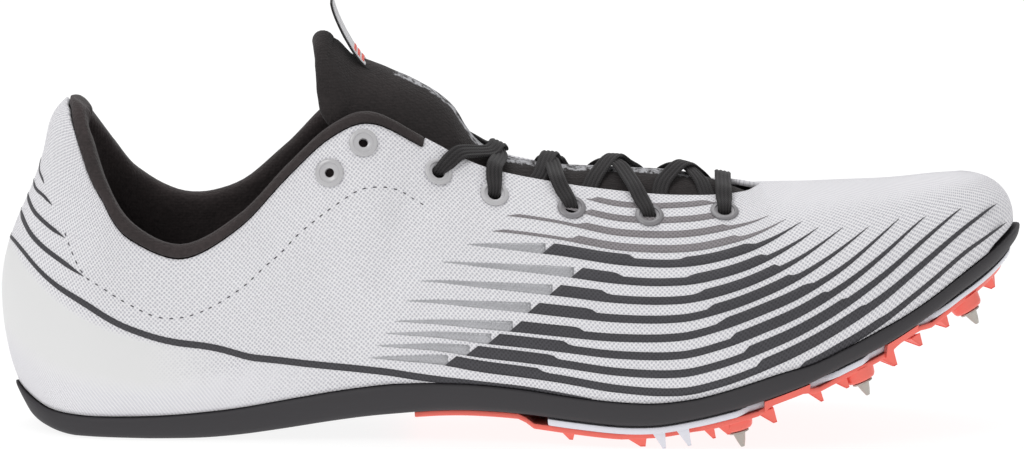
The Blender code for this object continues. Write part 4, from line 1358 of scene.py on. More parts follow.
def finish(name, bm, materials, nodes=(), sharp=None):
    """A bmesh made into a piece that rides on the shoe and stands for CAD nodes."""
    mesh = bpy.data.meshes.new(name)
    bm.to_mesh(mesh)
    bm.free()
    mesh.shade_smooth()
    if sharp is not None:
        mesh.set_sharp_from_angle(angle=math.radians(sharp))
    made = put(name, mesh)
    for material in materials:
        mesh.materials.append(material)
    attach(made, "root")
    if nodes:
        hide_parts(*nodes)
    return made


def thicken(made, name, thickness):
    """Gives a sheet a wall that grows inwards, millimetres."""
    wall = made.modifiers.new(name, "SOLIDIFY")
    wall.thickness = thickness * 0.001
    wall.offset = -1.0
    wall.use_rim = True
    return wall


def lathe(centre, axis, profile, around):
    """A turned solid: profile rows are radius and height along the axis, millimetres."""
    up = axis.normalized()
    across = up.cross(Vector((1, 0, 0))).normalized()
    other = up.cross(across)

    def spot(c, r):
        radius, height = profile[r]
        angle = 2 * math.pi * (c % around) / around
        p = centre + up * height
        return in_metres(p + across * radius * math.cos(angle) + other * radius * math.sin(angle))

    return solid(around, len(profile) - 1, spot)


def join_into(bm, other):
    scratch = bpy.data.meshes.new("scratch")
    other.to_mesh(scratch)
    other.free()
    bm.from_mesh(scratch)
    bpy.data.meshes.remove(scratch)


# The upper and its print
def upper_marks(side, number, up):
    """Heel film and fine ribs: how much of each there is on the skin there, 0 to 1."""
    p = wrapped(side, number, up)
    height = seen_height(side, p)
    line = 21.0 + 34.0 * math.exp(-p.x / 17.0) - 0.06 * (p.x - 40)
    film = ramp(line, height) * ramp(FILM_FRONT, p.x, 26.0) * ramp(up, 0.10, 0.09)
    toe = ramp(p.x, TOE_RIBS_FROM, 22.0) * ramp(up, 0.62, 0.2)
    low = ramp(0.24, up, 0.1) * ramp(LOW_RIBS_TO, p.x, 40.0)
    return film, max(toe, low)


def band_at(number):
    """How far the collar's knit shows below the edge: a mere lip at the back of the heel."""
    found = shape(number, "band")
    for k in range(len(HEEL_BAND) - 1):
        (n1, b1), (n2, b2) = HEEL_BAND[k], HEEL_BAND[k + 1]
        if n1 <= number <= n2:
            t = (number - n1) / (n2 - n1)
            found = b1 + (b2 - b1) * t * t * (3 - 2 * t)
    return found


def ease_toe(bm):
    """Evens out the top of the toe, where the sections of both sides run together."""
    near = []
    for vert in bm.verts:
        x, y = vert.co.x * 1000 + SHOE_LENGTH / 2, vert.co.y * 1000
        if x > TOE_EASED_FROM and abs(y) < TOE_EASED_HALF and vert.co.z > TOE_EASED_LOW * 0.001:
            near.append(vert)
    for _ in range(TOE_EASED_TIMES):
        bmesh.ops.smooth_vert(
            bm, verts=near, factor=0.5, use_axis_x=True, use_axis_y=True, use_axis_z=True)


def make_upper():
    columns = spread(0.0, LAST_ROW, sizes().skin_columns, (CUFF_END, CUFF_END + 0.09))
    ring = [(-1, n) for n in reversed(columns)] + [(1, n) for n in columns[1:]]
    rows = sizes().skin_rows

    def share_of(c, r):
        side, number = ring[c]
        share = r / rows
        if number <= CUFF_END + 1e-6:
            length = rib(side, number)[4]
            share *= 1.0 - (band_at(number) + GAP + 0.1) / length
        return side, number, share

    def spot(c, r):
        return in_metres(skin_made(*share_of(c, r)))

    bm = grid(
        len(ring) - 1, rows, spot, lambda c, r: cloth_uv(*share_of(c, r)),
        (("film", "ribs"), lambda c, r: upper_marks(*share_of(c, r))),
    )
    weld(bm, 0.00016)
    bmesh.ops.recalc_face_normals(bm, faces=bm.faces)
    if min(bm.faces, key=lambda f: f.calc_center_median().x).normal.x > 0:
        bmesh.ops.reverse_faces(bm, faces=bm.faces)
    ease_toe(bm)
    for side in (-1, 1):
        for number, down, lean, ahead in EYELETS:
            punch(bm, side, number, down)
    mesh = shared("polyester_mesh", mesh_material)
    # Dark brushed knit glued inside the upper: it keeps the inside deep and soft to the eye.
    lining = shared(
        "lining_knit", knit_material, colours().lining, sizes().knit_pitch, sheen=0.15)
    upper = finish("upper_skin", bm, [mesh, lining], ["upper"])
    thicken(upper, "wall", UPPER_WALL).material_offset = 1


def punch(bm, side, number, down):
    """A round eyelet hole in the skin."""
    up = up_at(side, number, down)
    centre = in_metres(skin_made(side, number, up))
    axis = skin_out(side, number, up)
    radius = EYELET_HOLE * 0.001
    gone = [f for f in bm.faces if (f.calc_center_median() - centre).length < radius]
    bmesh.ops.delete(bm, geom=gone, context="FACES")
    for vert in bm.verts:
        way = vert.co - centre
        if vert.is_boundary and way.length < 1.6 * radius:
            off = axis * way.dot(axis)
            vert.co = centre + off + (way - off).normalized() * radius * 1.12


def printed(name, paths, material, lift=1.0):
    """Thin print on both sides of the shoe. A path is a list of (low spot, high spot) pairs."""
    whole = bmesh.new()
    for side in (-1, 1):
        for path in paths:
            rows = 3

            def at(c, r):
                (n1, u1), (n2, u2) = path[c]
                t = r / rows
                return side, n1 + (n2 - n1) * t, u1 + (u2 - u1) * t

            bm = grid(
                len(path) - 1, rows,
                lambda c, r: in_metres(skin_made(*at(c, r), lift * sizes().print_lift)),
                lambda c, r: cloth_uv(*at(c, r)),
            )
            weld(bm)
            bmesh.ops.recalc_face_normals(bm, faces=bm.faces)
            middle = bm.faces[:][len(bm.faces) // 2]
            (n1, u1), _ = path[len(path) // 2]
            if middle.normal.dot(skin_out(side, n1, u1)) < 0:
                bmesh.ops.reverse_faces(bm, faces=bm.faces)
            join_into(whole, bm)
    made = finish(name, whole, [material])
    thicken(made, "film", 0.9 * sizes().print_lift)


def stripe_height(index, x):
    """The side height of a stripe's lower edge."""
    k = min(int(index // 4), 2)
    low = table(STRIPE_ROWS, STRIPE_COLUMNS, x, STRIPE_COLUMNS[k + 1])
    high = table(STRIPE_ROWS, STRIPE_COLUMNS, x, STRIPE_COLUMNS[k + 2])
    return low + (high - low) * (index - 4 * k) / 4


def stripe_thick(index, x):
    """A stripe's thickness: thick, thin, thick again, then a long thin tip."""
    k = index - FIRST_DARK
    tail, start, tip = SPANS[index]
    first, second, third = [at + shift * k + gain * k * k
                            for at, shift, gain in (THIN_FROM, THICK_FROM, TIP_FROM)]
    rear, thin, front = 3.2, 2.2, 2.8 + 0.1 * k
    if k < 0:
        rear, thin, front = 0.8, 1.5 + 0.2 * index, 1.5 + 0.2 * index
        first = 160.0 + 6.0 * (3 - index) / 3
    if index == len(SPANS) - 1:
        rear, thin, front = 2.6, 2.6, 2.6
    thick = rear + (thin - rear) * ramp(x, first) + (front - thin) * ramp(x, second)
    drop = min(min(1.8, 0.65 * front) + 0.22 * max(k - 2, 0), 0.85 * front)
    point = max(0.0, (tip - x) / (tip - third))
    end = drop * min(1.0, point) ** (0.85 - 0.05 * max(k, 0))
    thick += (end - thick) * ramp(x, third)
    return max(thick * ramp(x, start, 3.0), 0.05)


def stripe_path(index, first, last, thick_of, step=1.6):
    """A stripe's edges on the skin, without the places that run out over the top line."""
    count = max(4, round((last - first) / step))
    path = []
    for k in range(count + 1):
        x = first + (last - first) * k / count
        low = stripe_height(index, x)
        high = low + thick_of(x)
        ends = side_spot(x, low), side_spot(x, high)
        over = [s for h, s in zip((low, high), ends)
                if s[1] > 0.9 and miss((x, h), s) > MISS_ALLOWED]
        if not over:
            path.append(ends)
    return path


def miss(wanted, spot):
    """How far a found place lies from the wanted one, as seen from the side."""
    p = skin(-1, *spot)
    return math.hypot(p.x - wanted[0], seen_height(-1, p) - wanted[1])


def onto_side(x, height):
    """The nearest place that the skin reaches at that height, as seen from the side."""
    while miss((x, height), side_spot(x, height)) > 0.3 and x < 30.0:
        x += 0.3
    return x, height


def line_path(thick, spots):
    """A line round the heel, from the middle of the back."""
    spots = [onto_side(x, h) for x, h in spots]
    found = [Vector((*side_spot(x, h), 0.0)) for x, h in spots]
    (x1, h1), (x2, h2) = spots[:2]
    edge = skin(-1, 0.0, found[0].y)
    wanted = h1 + max(0.5, min(4.5, 1.8 * (h1 - h2) / (x2 - x1) * (x1 - edge.x)))
    low, high = 0.0, 1.0
    for _ in range(24):
        up = (low + high) / 2
        if seen_height(-1, skin(-1, 0.0, up)) < wanted:
            low = up
        else:
            high = up
    if found[0].x > 0.15:
        found.insert(0, Vector((0.0, low, 0.0)))
    points = []
    for k in range(len(found) - 1):
        points += [through(found, k, t / 14) for t in range(14)]
    points.append(found[-1])
    path = []
    for k, p in enumerate(points):
        t = k / (len(points) - 1)
        wide = thick * min(1.0, 0.35 + 3.0 * t, 0.1 + 5.0 * (1.0 - t))
        share = 0.5 * wide / rib(-1, p.x)[4]
        path.append(((p.x, max(p.y - share, 0.0)), (p.x, max(p.y + share, 0.001))))
    return path


def make_print():
    dark, light, silver = [], [], []
    for index, (tail, start, tip) in enumerate(SPANS):
        path = stripe_path(index, start, tip, lambda x: stripe_thick(index, x))
        (dark if index >= FIRST_DARK else light).append(path)
        if start - tail > 2.0:
            silver.append(stripe_path(
                index, tail, start + 0.8,
                lambda x: 2.9 * ramp(x, tail, start - tail) ** 0.8 + 0.05,
            ))
    dark += [line_path(thick, spots) for thick, spots in HEEL_LINES]
    shades = colours()
    # Rubbery screen ink, matt: the cloth's holes show through it as darker dots of painted shade.
    charcoal = shared(
        "charcoal_print", ink_material, shades.ink_dark, rough=0.55, metal=0.0, holes_shown=0.6)
    grey = shared(
        "grey_print", ink_material, shades.ink_light, rough=0.6, metal=0.0, holes_shown=0.5)
    # Ink with metal flake: it catches the light along the tails and hides the holes.
    silvery = shared(
        "silver_print", ink_material, shades.ink_silver, rough=0.38, metal=0.55, holes_shown=0.12)
    printed("stripes_dark", dark, charcoal)
    printed("stripes_light", light, grey)
    printed("stripes_silver", silver, silvery, lift=0.8)


def make_stitches():
    """Short dark dashes punched in a line below the collar, on both sides."""
    spots = [Vector((*side_spot(x, h), 0.0)) for x, h in STITCH_LINE]
    whole = bmesh.new()
    for side in (-1, 1):
        line = []
        for k in range(len(spots) - 1):
            line += [through(spots, k, t / 30) for t in range(30)]
        skins = [skin_made(side, p.x, p.y) for p in line]
        run, due = 0.0, 0.5 * STITCH_PITCH
        for k in range(1, len(line) - 1):
            run += (skins[k] - skins[k - 1]).length
            if run < due:
                continue
            due += STITCH_PITCH
            along = (skins[k + 1] - skins[k - 1]).normalized()
            normal = skin_out(side, line[k].x, line[k].y)
            across = along.cross(normal).normalized()
            bm = bmesh.new()
            bmesh.ops.create_uvsphere(bm, u_segments=8, v_segments=6, radius=1.0)
            for vert in bm.verts:
                a = along * vert.co.x * 0.5 * STITCH_LONG
                b = across * vert.co.y * STITCH_HALF
                d = normal * vert.co.z * STITCH_HIGH
                vert.co = in_metres(skins[k] + a + b + d)
            close_up(bm)
            join_into(whole, bm)
    # Twisted polyester thread: dull, a little paler than the print.
    thread = shared("stitch_thread", knit_material, colours().thread, pitch=0.4, sheen=0.0)
    finish("collar_stitches", whole, [thread])


def make_collar():
    """The padded collar: a rolled binding outside, foam and lining inside."""
    columns = spread(0.0, CUFF_END, 7)
    ring = [(-1, n) for n in reversed(columns)] + [(1, n) for n in columns[1:]]
    inner = -(UPPER_WALL + GAP + 0.05)
    deep = COLLAR_LINING_DEPTH
    fine = 4

    @functools.lru_cache(maxsize=None)
    def profile(number):
        band = band_at(number)
        pad = shape(number, "pad")
        rows = [
            (band, inner), (band, 0.1), (0.82 * band, 0.75), (0.45 * band, 1.0), (0.1 * band, 0.55),
            (-0.55, -0.6), (-0.75, -0.5 * pad), (0.1, -0.85 * pad), (0.12 * deep, -1.02 * pad),
            (0.32 * deep, -1.0 * pad), (0.7 * deep, -0.9 * pad), (deep, inner - 0.6),
            (deep, inner), (0.5 * deep, inner),
        ]
        count = len(rows)
        found = []
        for k in range(count):
            p = [Vector((*rows[(k + j) % count], 0.0)) for j in (-1, 0, 1, 2)]
            found += [curve(*p, t / fine) for t in range(fine)]
        return found

    count = len(profile(0.0))

    def spot(c, r):
        side, number = ring[c]
        p = profile(number)[r % count]
        q = skin_at(side, number, p.x, p.y)
        gather = 0.22 * math.sin(number * 7.3) * math.exp(-((number - 4.5) / 1.6) ** 2)
        soft = 1.0 if p.y < -0.2 and p.y > inner - 8 else 0.35
        out = skin_out(side, number, up_at(side, number, p.x))
        return in_metres(q + out * -(uneven(q, COLLAR_WAVES) + gather) * soft)

    bm = solid(len(ring) - 1, count, spot)
    # Brushed black knit over foam: its nap gives the rolled edge a soft pale rim.
    knit = shared(
        "collar_knit_cloth", knit_material, colours().collar, sizes().knit_pitch, sheen=0.12)
    made = finish("collar_padding", bm, [knit], ["collar"])


# The sole's pieces
def fine_slab(name, loop, rings, inset_of, top_of, bottom_of, material, nodes, sharp=40):
    """A sole layer: rings inset from the edge, from the top's middle round to the underside's."""
    front = MIDDLE_FRONT * SHOE_LENGTH
    first = feather(*loop[0]).x
    blunt = loop[0][1] == loop[-1][1]
    rear = first + MIDDLE_OFF_END if blunt else MIDDLE_REAR * SHOE_LENGTH
    steps = spread(0.0, LAST_ROW, 4)
    mids = [(feather(-1, n) + feather(1, n)) / 2 for n in steps]

    @functools.lru_cache(maxsize=None)
    def middle(number):
        centre = (feather(-1, number) + feather(1, number)) / 2
        near = min(max(centre.x, rear), front)
        if near != centre.x:
            centre = min(mids, key=lambda m: abs(m.x - near))
        return Vector((near, centre.y, 0.0))

    levels = [(None, 0.0)] + list(rings) + [(None, 1.0)]
    count = len(loop)

    def spot(c, r):
        side, number = loop[c % count]
        inset, depth = levels[r]
        edge = feather(side, number)
        centre = middle(number)
        if inset is None:
            p = centre
        else:
            extra = inset_of(edge.x)
            p = feather(side, number, extra + inset)
            if extra + inset > 0.7 * (edge - centre).length:
                p = edge.lerp(centre, 0.7)
            if blunt:
                p.x = max(p.x, first + inset)
        high = top_of(p.x, p.y)
        low = bottom_of(p.x, p.y)
        return place(p.x, p.y, high + (low - high) * depth)

    bm = solid(count, len(levels) - 1, spot)
    return finish(name, bm, [material], nodes, sharp)


def edge_spot(spot_x, side, inset):
    """The place on the sole's inset edge at a share of the length, its section and the way down."""
    number = min(
        spread(FOREFOOT_FROM, LAST_ROW, 40),
        key=lambda n: abs(feather(side, n, inset).x - spot_x * SHOE_LENGTH),
    )
    p = feather(side, number, inset)
    return p, number, slope_down(p.x, p.y)


def tooth(spot_x, side, inset, raised, deep, long, wide):
    """A moulded tooth hanging from the sole's edge, its steep face forwards, edges softened."""
    p, number, down = edge_spot(spot_x, side, inset)
    root = Vector((p.x, p.y, tread_top(p.x, p.y) - 0.5 * OUTSOLE_THICKNESS + raised))
    way = outward(side, number)
    across = (way - down * way.dot(down)).normalized()
    forward = across.cross(down).normalized()
    if forward.x < 0:
        forward = -forward
    height = deep + 0.5 * OUTSOLE_THICKNESS
    bm = bmesh.new()
    bmesh.ops.create_cone(
        bm, cap_ends=True, segments=4, radius1=0.7071, radius2=TOOTH_TIP, depth=1.0)
    for vert in bm.verts:
        angle = math.pi / 4
        u = vert.co.x * math.cos(angle) - vert.co.y * math.sin(angle)
        v = vert.co.x * math.sin(angle) + vert.co.y * math.cos(angle)
        depth = vert.co.z + 0.5
        u += TOOTH_LEAD * depth
        vert.co = in_metres(root + forward * u * long + across * v * wide + down * depth * height)
    bmesh.ops.bevel(
        bm, geom=bm.edges[:], offset=TOOTH_SOFT, segments=2, profile=0.5, affect="EDGES",
        material=-1,
    )
    close_up(bm)
    return bm


def spike_seat(spot_x, side, inset, web):
    """Where a spike's web leaves the outsole, the way down and the web's lower end."""
    p, number, down = edge_spot(spot_x, side, inset)
    root = Vector((p.x, p.y, tread_bottom(p.x, p.y)))
    return root, down, root + down * web


def make_sole():
    shades = colours()
    whole = loop_of(spread(0.0, LAST_ROW, 7), False)
    # Moulded foam: dull, with the fine pebble of its mould.
    foam = shared(
        "moulded_foam", moulded_material, shades.midsole, rough=0.66, grain=0.5, depth=0.05)
    # Stiff white nylon: smooth, with a faint gloss on its teeth.
    nylon = shared(
        "moulded_nylon", moulded_material, shades.plate, rough=0.34, grain=0.9, depth=0.012,
        coat_weight=0.2)
    # Hard coral elastomer: even colour with a satin shine along its ridges.
    elastomer = shared(
        "coral_elastomer", moulded_material, shades.coral, rough=0.36, grain=0.8, depth=0.015)
    # Grey cloth of the footbed: dull, so that the inside of the shoe reads as deep.
    cloth = shared("footbed_cloth", knit_material, shades.insole, sizes().knit_pitch, sheen=0.1)
    fine_slab("midsole_foam_body", whole, MIDSOLE_FINE, no_inset, feather_height, under_height,
              foam, ["midsole"], 60)
    fine_slab(
        "footbed", whole, ((1.0, 0.0), (0.6, 0.1), (0.2, 0.5), (0.0, 1.0)),
        lambda x: INSOLE_INSET,
        lambda x, y: feather_height(x, y) + GAP + 0.15 + INSOLE_THICKNESS,
        lambda x, y: feather_height(x, y) + GAP + 0.15,
        cloth, ["insole"],
    )
    fine_slab(
        "nylon_plate", loop_of(spread(PLATE_FROM, LAST_ROW, 8), True), LAYER_FINE, plate_inset,
        lambda x, y: under_height(x, y) - GAP - 0.25 * window(x, 0.90, 2.0, 0.05),
        lambda x, y: under_height(x, y) - GAP - PLATE_THICKNESS,
        nylon, ["plate"],
    )
    fine_slab("outsole_sheet", loop_of(spread(OUTSOLE_FROM, LAST_ROW, 8), True), LAYER_FINE,
              outsole_inset, lambda x, y: tread_top(x, y) + rim_rise(x),
              lambda x, y: tread_bottom(x, y) + rim_rise(x), elastomer,
              ["outsole"])
    teeth = bmesh.new()
    lugs = bmesh.new()
    for side in (-1, 1):
        for spot_x, deep in PLATE_TEETH:
            join_into(teeth, tooth(
                spot_x, side, inset=3.3, raised=2.2, deep=deep + 0.6, long=3.6, wide=2.4))
        for spot_x, deep, long in TEETH:
            inset = outsole_inset(spot_x * SHOE_LENGTH) + 3.4
            join_into(lugs, tooth(
                spot_x, side, inset, raised=0.0, deep=deep + 0.4, long=long, wide=5.0))
        for spot_x, inset, web in SPIKES:
            root, down, seat = spike_seat(spot_x, side, inset, web)
            profile = (
                (0.0, -0.6), (5.0, -0.6), (4.7, 0.2), (4.3, 0.7 * web), (4.1, web - 0.5),
                (3.8, web - 0.12), (3.4, web), (0.0, web),
            )
            join_into(lugs, lathe(root, down, profile, 32))
        for start, end in RIM_CONTACTS:
            join_into(lugs, rim_block(side, start + RIM_SHORTER, end - RIM_SHORTER))
    finish("plate_teeth", teeth, [nylon], (), 40)
    finish("outsole_lugs", lugs, [elastomer], (), 40)


def make_spikes():
    steel = shared("turned_steel", steel_material)
    for side, word in ((-1, "lateral"), (1, "medial")):
        for index, (spot_x, inset, web) in enumerate(SPIKES):
            root, down, seat = spike_seat(spot_x, side, inset, web)
            shown = SPIKE_SHOWN
            # The rearmost pair reaches the ground.
            if index == 0:
                shown = (seat.z - 0.55 * abs(down.x)) / -down.z
            profile = (
                (0.0, GAP), (SPIKE_FLANGE - 0.1, GAP), (SPIKE_FLANGE, GAP + 0.1),
                (SPIKE_FLANGE, GAP + 0.42), (SPIKE_FLANGE - 0.15, GAP + 0.52), (2.0, GAP + 0.58),
                (1.85, GAP + 0.75), (1.7, GAP + 0.9), (1.2, 0.5 * (shown + GAP + 0.9)),
                (0.6, shown - 0.15), (0.45, shown), (0.0, shown),
            )
            name = "spike_%s_%d" % (word, index + 1)
            finish("steel_" + name, lathe(seat, down, profile, 32), [steel],
                   [name], 35)


# The tongue, its tab and the eyelets
def make_tongue():
    start = TONGUE_ROWS[0][0] * SHOE_LENGTH
    end = TONGUE_ROWS[-1][0] * SHOE_LENGTH
    rows, columns = 96, 44

    def at(c, r):
        """The place along the shoe and across the tongue, -1 to 1."""
        return start + (end - start) * r / rows, 2.0 * c / columns - 1.0

    def spot(c, r):
        x, across = at(c, r)
        p = tongue_point(x, across)
        n = tongue_up(x, across)
        roll = sum(high * math.exp(-((x - start - at_x) / wide) ** 2)
                   for at_x, wide, high in TONGUE_ROLL)
        pad = 0.5 * (1.0 - across * across) * (1.0 if x < 150 else 0.4)
        return in_metres(p + n * (roll + uneven(p, TONGUE_WAVES) + pad - 0.35))

    def strip(c, r):
        x, across = at(c, r)
        inside = ramp(STRIP_HALF + STRIP_SOFT, abs(across), STRIP_SOFT)
        return (inside * min(ramp(x, start + 16.0, 4.0), ramp(end - 20.0, x, 8.0)),)

    bm = grid(
        columns, rows, spot,
        lambda c, r: (0.5 * (2.0 * c / columns - 1.0) * 0.04, (end - start) * r / rows * 0.001),
        (("strip",), strip),
    )
    weld(bm)
    bmesh.ops.recalc_face_normals(bm, faces=bm.faces)
    if sum(f.normal.z for f in bm.faces) < 0:
        bmesh.ops.reverse_faces(bm, faces=bm.faces)
    made = finish("tongue_padding", bm, [shared("tongue_knit_cloth", tongue_material)],
                  ["tongue"])
    thicken(made, "foam", TONGUE_THICKNESS - 0.3)


def make_tongue_rim():
    """The rolled binding round the tongue's top and down both its edges."""
    start = TONGUE_ROWS[0][0] * SHOE_LENGTH
    half = [(start + d, -a) for d, a in TONGUE_RIM]
    spots = [*half, *((x, -a) for x, a in reversed(half[:-1]))]
    points = []
    for x, across in spots:
        points.append(tongue_point(x, across) - tongue_up(x, across) * 0.45 * TONGUE_THICKNESS)
    line = smooth_path(points, 0.9)
    top = points[len(points) // 2] - Vector((0.0, 0.0, 0.6))
    around = 20

    def spot(c, r):
        here = line[c]
        along = (line[min(c + 1, len(line) - 1)] - line[max(c - 1, 0)]).normalized()
        out = Vector((-1.0, 0.0, 0.4))
        out = (out - along * out.dot(along)).normalized()
        side = along.cross(out)
        angle = 2 * math.pi * (r % around) / around
        rough = 1.0 + noise.noise(here * 0.3) * 0.06
        rough += 0.4 * math.exp(-(((here - top) / 9.0).length) ** 2)
        way = out * math.cos(angle) * 1.1 + side * math.sin(angle)
        return in_metres(here + way * TONGUE_RIM_RADIUS * rough)

    # Knit tape folded over the tongue's edge: the same dark knit, a touch more nap.
    binding = shared(
        "binding_knit", knit_material, colours().tongue, sizes().knit_pitch, sheen=0.08)
    finish("tongue_rim", solid(len(line) - 1, around, spot), [binding])


def tape_strip(path, width, thick, lift):
    """A flat woven tape along (point, normal) pairs, lifted off them."""
    count = len(path) - 1
    corners = ((-0.5, 0.0), (-0.49, 0.5), (0.49, 0.5), (0.5, 0.0), (0.49, -0.5), (-0.49, -0.5))

    def spot(c, r):
        here, normal = path[c]
        along = (path[min(c + 1, count)][0] - path[max(c - 1, 0)][0]).normalized()
        across = along.cross(normal).normalized()
        a, b = corners[r % len(corners)]
        return in_metres(here + across * a * width + normal * (b * thick + lift))

    def uv(c, r):
        return (corners[r % len(corners)][0] * width * 0.001, c * 0.0008)

    return solid(count, len(corners), spot, uv)


def make_tab():
    """The pull tab: white tape in front of black, stitched down in coral."""
    spots = [Vector((x * SHOE_LENGTH, 0.0, z * COLLAR_HEIGHT)) for x, z in TAB_ROWS]
    line = smooth_path(spots, 0.8)
    path = []
    for k, here in enumerate(line):
        before = line[max(k - 1, 0)]
        after = line[min(k + 1, len(line) - 1)]
        sunk = Vector((0.0, 0.0, TAB_FOOT_DROP * max(0.0, 1.0 - k / TAB_FOOT_STEPS)))
        normal = Vector((after.z - before.z, 0.0, before.x - after.x)).normalized()
        path.append((here + TAB_SET - sunk, normal))
    shades = colours()
    # Woven polyester tapes: their ribs, with painted shade between them, give the small bright tab
    # a grain across it.
    black = shared("black_tape", tape_material, shades.lace)
    white = shared("white_tape", tape_material, shades.tape)
    # Thick coral thread: flat bars of colour with the weave's ribs.
    coral = shared("coral_thread", tape_material, shades.coral)
    back = tape_strip(path[TAB_BLACK_FROM:], TAB_WIDTH, thick=0.55, lift=-0.18)
    finish("tab_back", back, [black], ["tongue_tab"], 40)
    front = tape_strip(path[TAB_WHITE_FROM:-1], TAB_WIDTH - 0.8, thick=0.4, lift=0.3)
    finish("tab_front", front, [white], (), 40)
    for row, start in enumerate(TAB_STITCHES_FROM):
        bar = tape_strip(path[start:start + 2], TAB_WIDTH - 1.6, thick=0.2, lift=0.55)
        finish("tab_stitch_%d" % (row + 1), bar, [coral], (), 40)


def make_eyelets():
    shades = colours()
    # Moulded polyurethane rings, milky at the collar and smoky ahead: a wet gleam on each rim.
    pale = shared(
        "clear_polyurethane", moulded_material, shades.eyelet_pale, rough=0.28, grain=0.6,
        depth=0.01, coat_weight=0.3)
    smoke = shared(
        "smoke_polyurethane", moulded_material, shades.eyelet_grey, rough=0.3, grain=0.6,
        depth=0.01, coat_weight=0.3)
    for side, word in ((-1, "lateral"), (1, "medial")):
        for index, (number, down, lean, ahead) in enumerate(EYELETS):
            up = up_at(side, number, down)
            axis = skin_out(side, number, up)
            centre = skin_made(side, number, up)
            low, high = 0.1, 0.7
            bore = 1.9 if index > 1 else 1.3
            profile = (
                (bore, -1.5), (EYELET_INNER, -1.5), (EYELET_OUTER - 0.9, low),
                (EYELET_OUTER - 0.1, low), (EYELET_OUTER, low + 0.2),
                (EYELET_OUTER - 0.1, high - 0.2), (EYELET_OUTER - 0.35, high),
                (EYELET_INNER + 0.6, high), (EYELET_INNER + 0.4, high - 0.3),
                (bore + 0.2, high - 0.35), (bore, high - 0.5), (bore, -1.5),
            )
            name = "eyelet_%s_%d" % (word, index + 1)
            ring = lathe(centre, axis, profile, 40)
            finish("ring_" + name, ring, [pale if index < 4 else smoke], [name], 50)


# The lace, one cord through every eyelet that is used
def ways_at(side, number, down):
    """The way out of the skin at an eyelet and the way down it."""
    axis = skin_out(side, number, up_at(side, number, down))
    slope = skin_at(side, number, down + 1.0) - skin_at(side, number, down - 1.0)
    return axis, slope.normalized()


def rise(side, index):
    """From inside the shoe up through an eyelet and over the throat's edge.

    Each row is a point, the way its flat side faces and how far the cord is squeezed there.
    """
    number, down, lean, ahead = EYELETS[index]
    reach = down - EYELET_OUTER - 0.2
    high = 0.5 * LACE_THICKNESS + LACE_OVER
    axis, slope = ways_at(side, number, down)
    found = [
        (skin_at(side, number, down - 0.6, -UPPER_WALL - 1.6), (slope - axis).normalized(), 0.75),
        (skin_at(side, number, down + 0.1, -0.3), slope, 0.7),
        (skin_at(side, number, down - 0.3, 1.5), (slope + axis).normalized(), 0.78),
    ]
    for share, extra in ((0.0, -0.7), (0.5, -0.3), (1.0, 0.3)):
        d = reach * (1.0 - share)
        n = number + lean * (1.0 - d / down)
        facing = skin_out(side, n, up_at(side, n, d))
        found.append((skin_at(side, n, d, high + extra), facing, 1.0))
    return found


def slip(side, index):
    """From inside an eyelet back under the skin to just inside the throat's edge."""
    number, down, lean, ahead = EYELETS[index]
    axis, slope = ways_at(side, number, down)
    edge = skin_at(side, number, 0.0)
    shift = ahead / SECTION_STEP
    low = -UPPER_WALL - 1.2
    found = [
        (skin_at(side, number, down - 0.6, low - 0.4), (slope - axis).normalized(), 0.75),
        (skin_at(side, number + 0.35 * shift, 0.6 * down, low), axis, 1.0),
        (skin_at(side, number + 0.8 * shift, 1.2, low - 0.2), axis, 1.0),
    ]
    return found, (edge.x + ahead, edge.y - side * LACE_SLIP)


def crossing_points(x1, y1, x2, y2, over):
    """A crossing over the tongue; the upper strand of the pair humps over the other."""
    found = []
    low = 0.5 * LACE_THICKNESS + 0.25
    for k, (p, n) in enumerate(across_tongue(x1, y1, x2, y2, STRAND_STEPS, low)):
        t = k / STRAND_STEPS
        hump = math.exp(-((t - 0.5) / 0.2) ** 2) * (STRAND_OVER * over + STRAND_LIFT)
        arch = STRAND_ARCH * math.sin(math.pi * t)
        found.append((p + n * (hump + arch), n, 1.0))
    return found


def half_route(side):
    """One half of the lace, from the bar's end at this side to inside a top eyelet."""
    front = len(EYELETS) - 1
    here = side
    route = list(reversed(rise(here, front)))
    under, spot_under = slip(here, front)
    route += under[1:]
    for number, (leaves, reaches, over_first, over_last, ahead) in enumerate(CROSSINGS):
        if over_first:
            climb = rise(here, leaves)
            route += climb[1:]
            first = climb[-1][0].xy
        else:
            first = Vector(spot_under)
        there = -here
        if over_last:
            climb = rise(there, reaches)
            last = climb[-1][0].xy
        else:
            under, spot_under = slip(there, reaches)
            last = Vector(spot_under)
        run = (last - first).normalized() * LACE_SET_IN
        if over_first:
            first = first + run
        if over_last:
            last = last - run
        over = 1.0 if (number % 2 == 1) == (side < 0) else 0.0
        strand = crossing_points(first.x + ahead, first.y, last.x + ahead, last.y, over)
        begin = STRAND_LEFT_OUT if over_first else 0
        stop = len(strand) - (STRAND_LEFT_OUT if over_last else 0)
        route += strand[begin:stop]
        here = there
        if over_last:
            route += list(reversed(climb))
        else:
            route += list(reversed(under))
    return route


def lace_route():
    """The whole lace: one half's top end, the straight bar in front, the other half's top end."""
    front = len(EYELETS) - 1
    start = rise(-1, front)[-1][0]
    end = rise(1, front)[-1][0]
    x1, x2 = start.x - 0.8, end.x - 0.8
    bar = crossing_points(x1, start.y + LACE_SET_IN, x2, end.y - LACE_SET_IN, 0.0)
    bar = [(p + n * 0.5, n, s) for p, n, s in bar[STRAND_LEFT_OUT:-STRAND_LEFT_OUT]]
    return list(reversed(half_route(-1))) + bar + half_route(1)


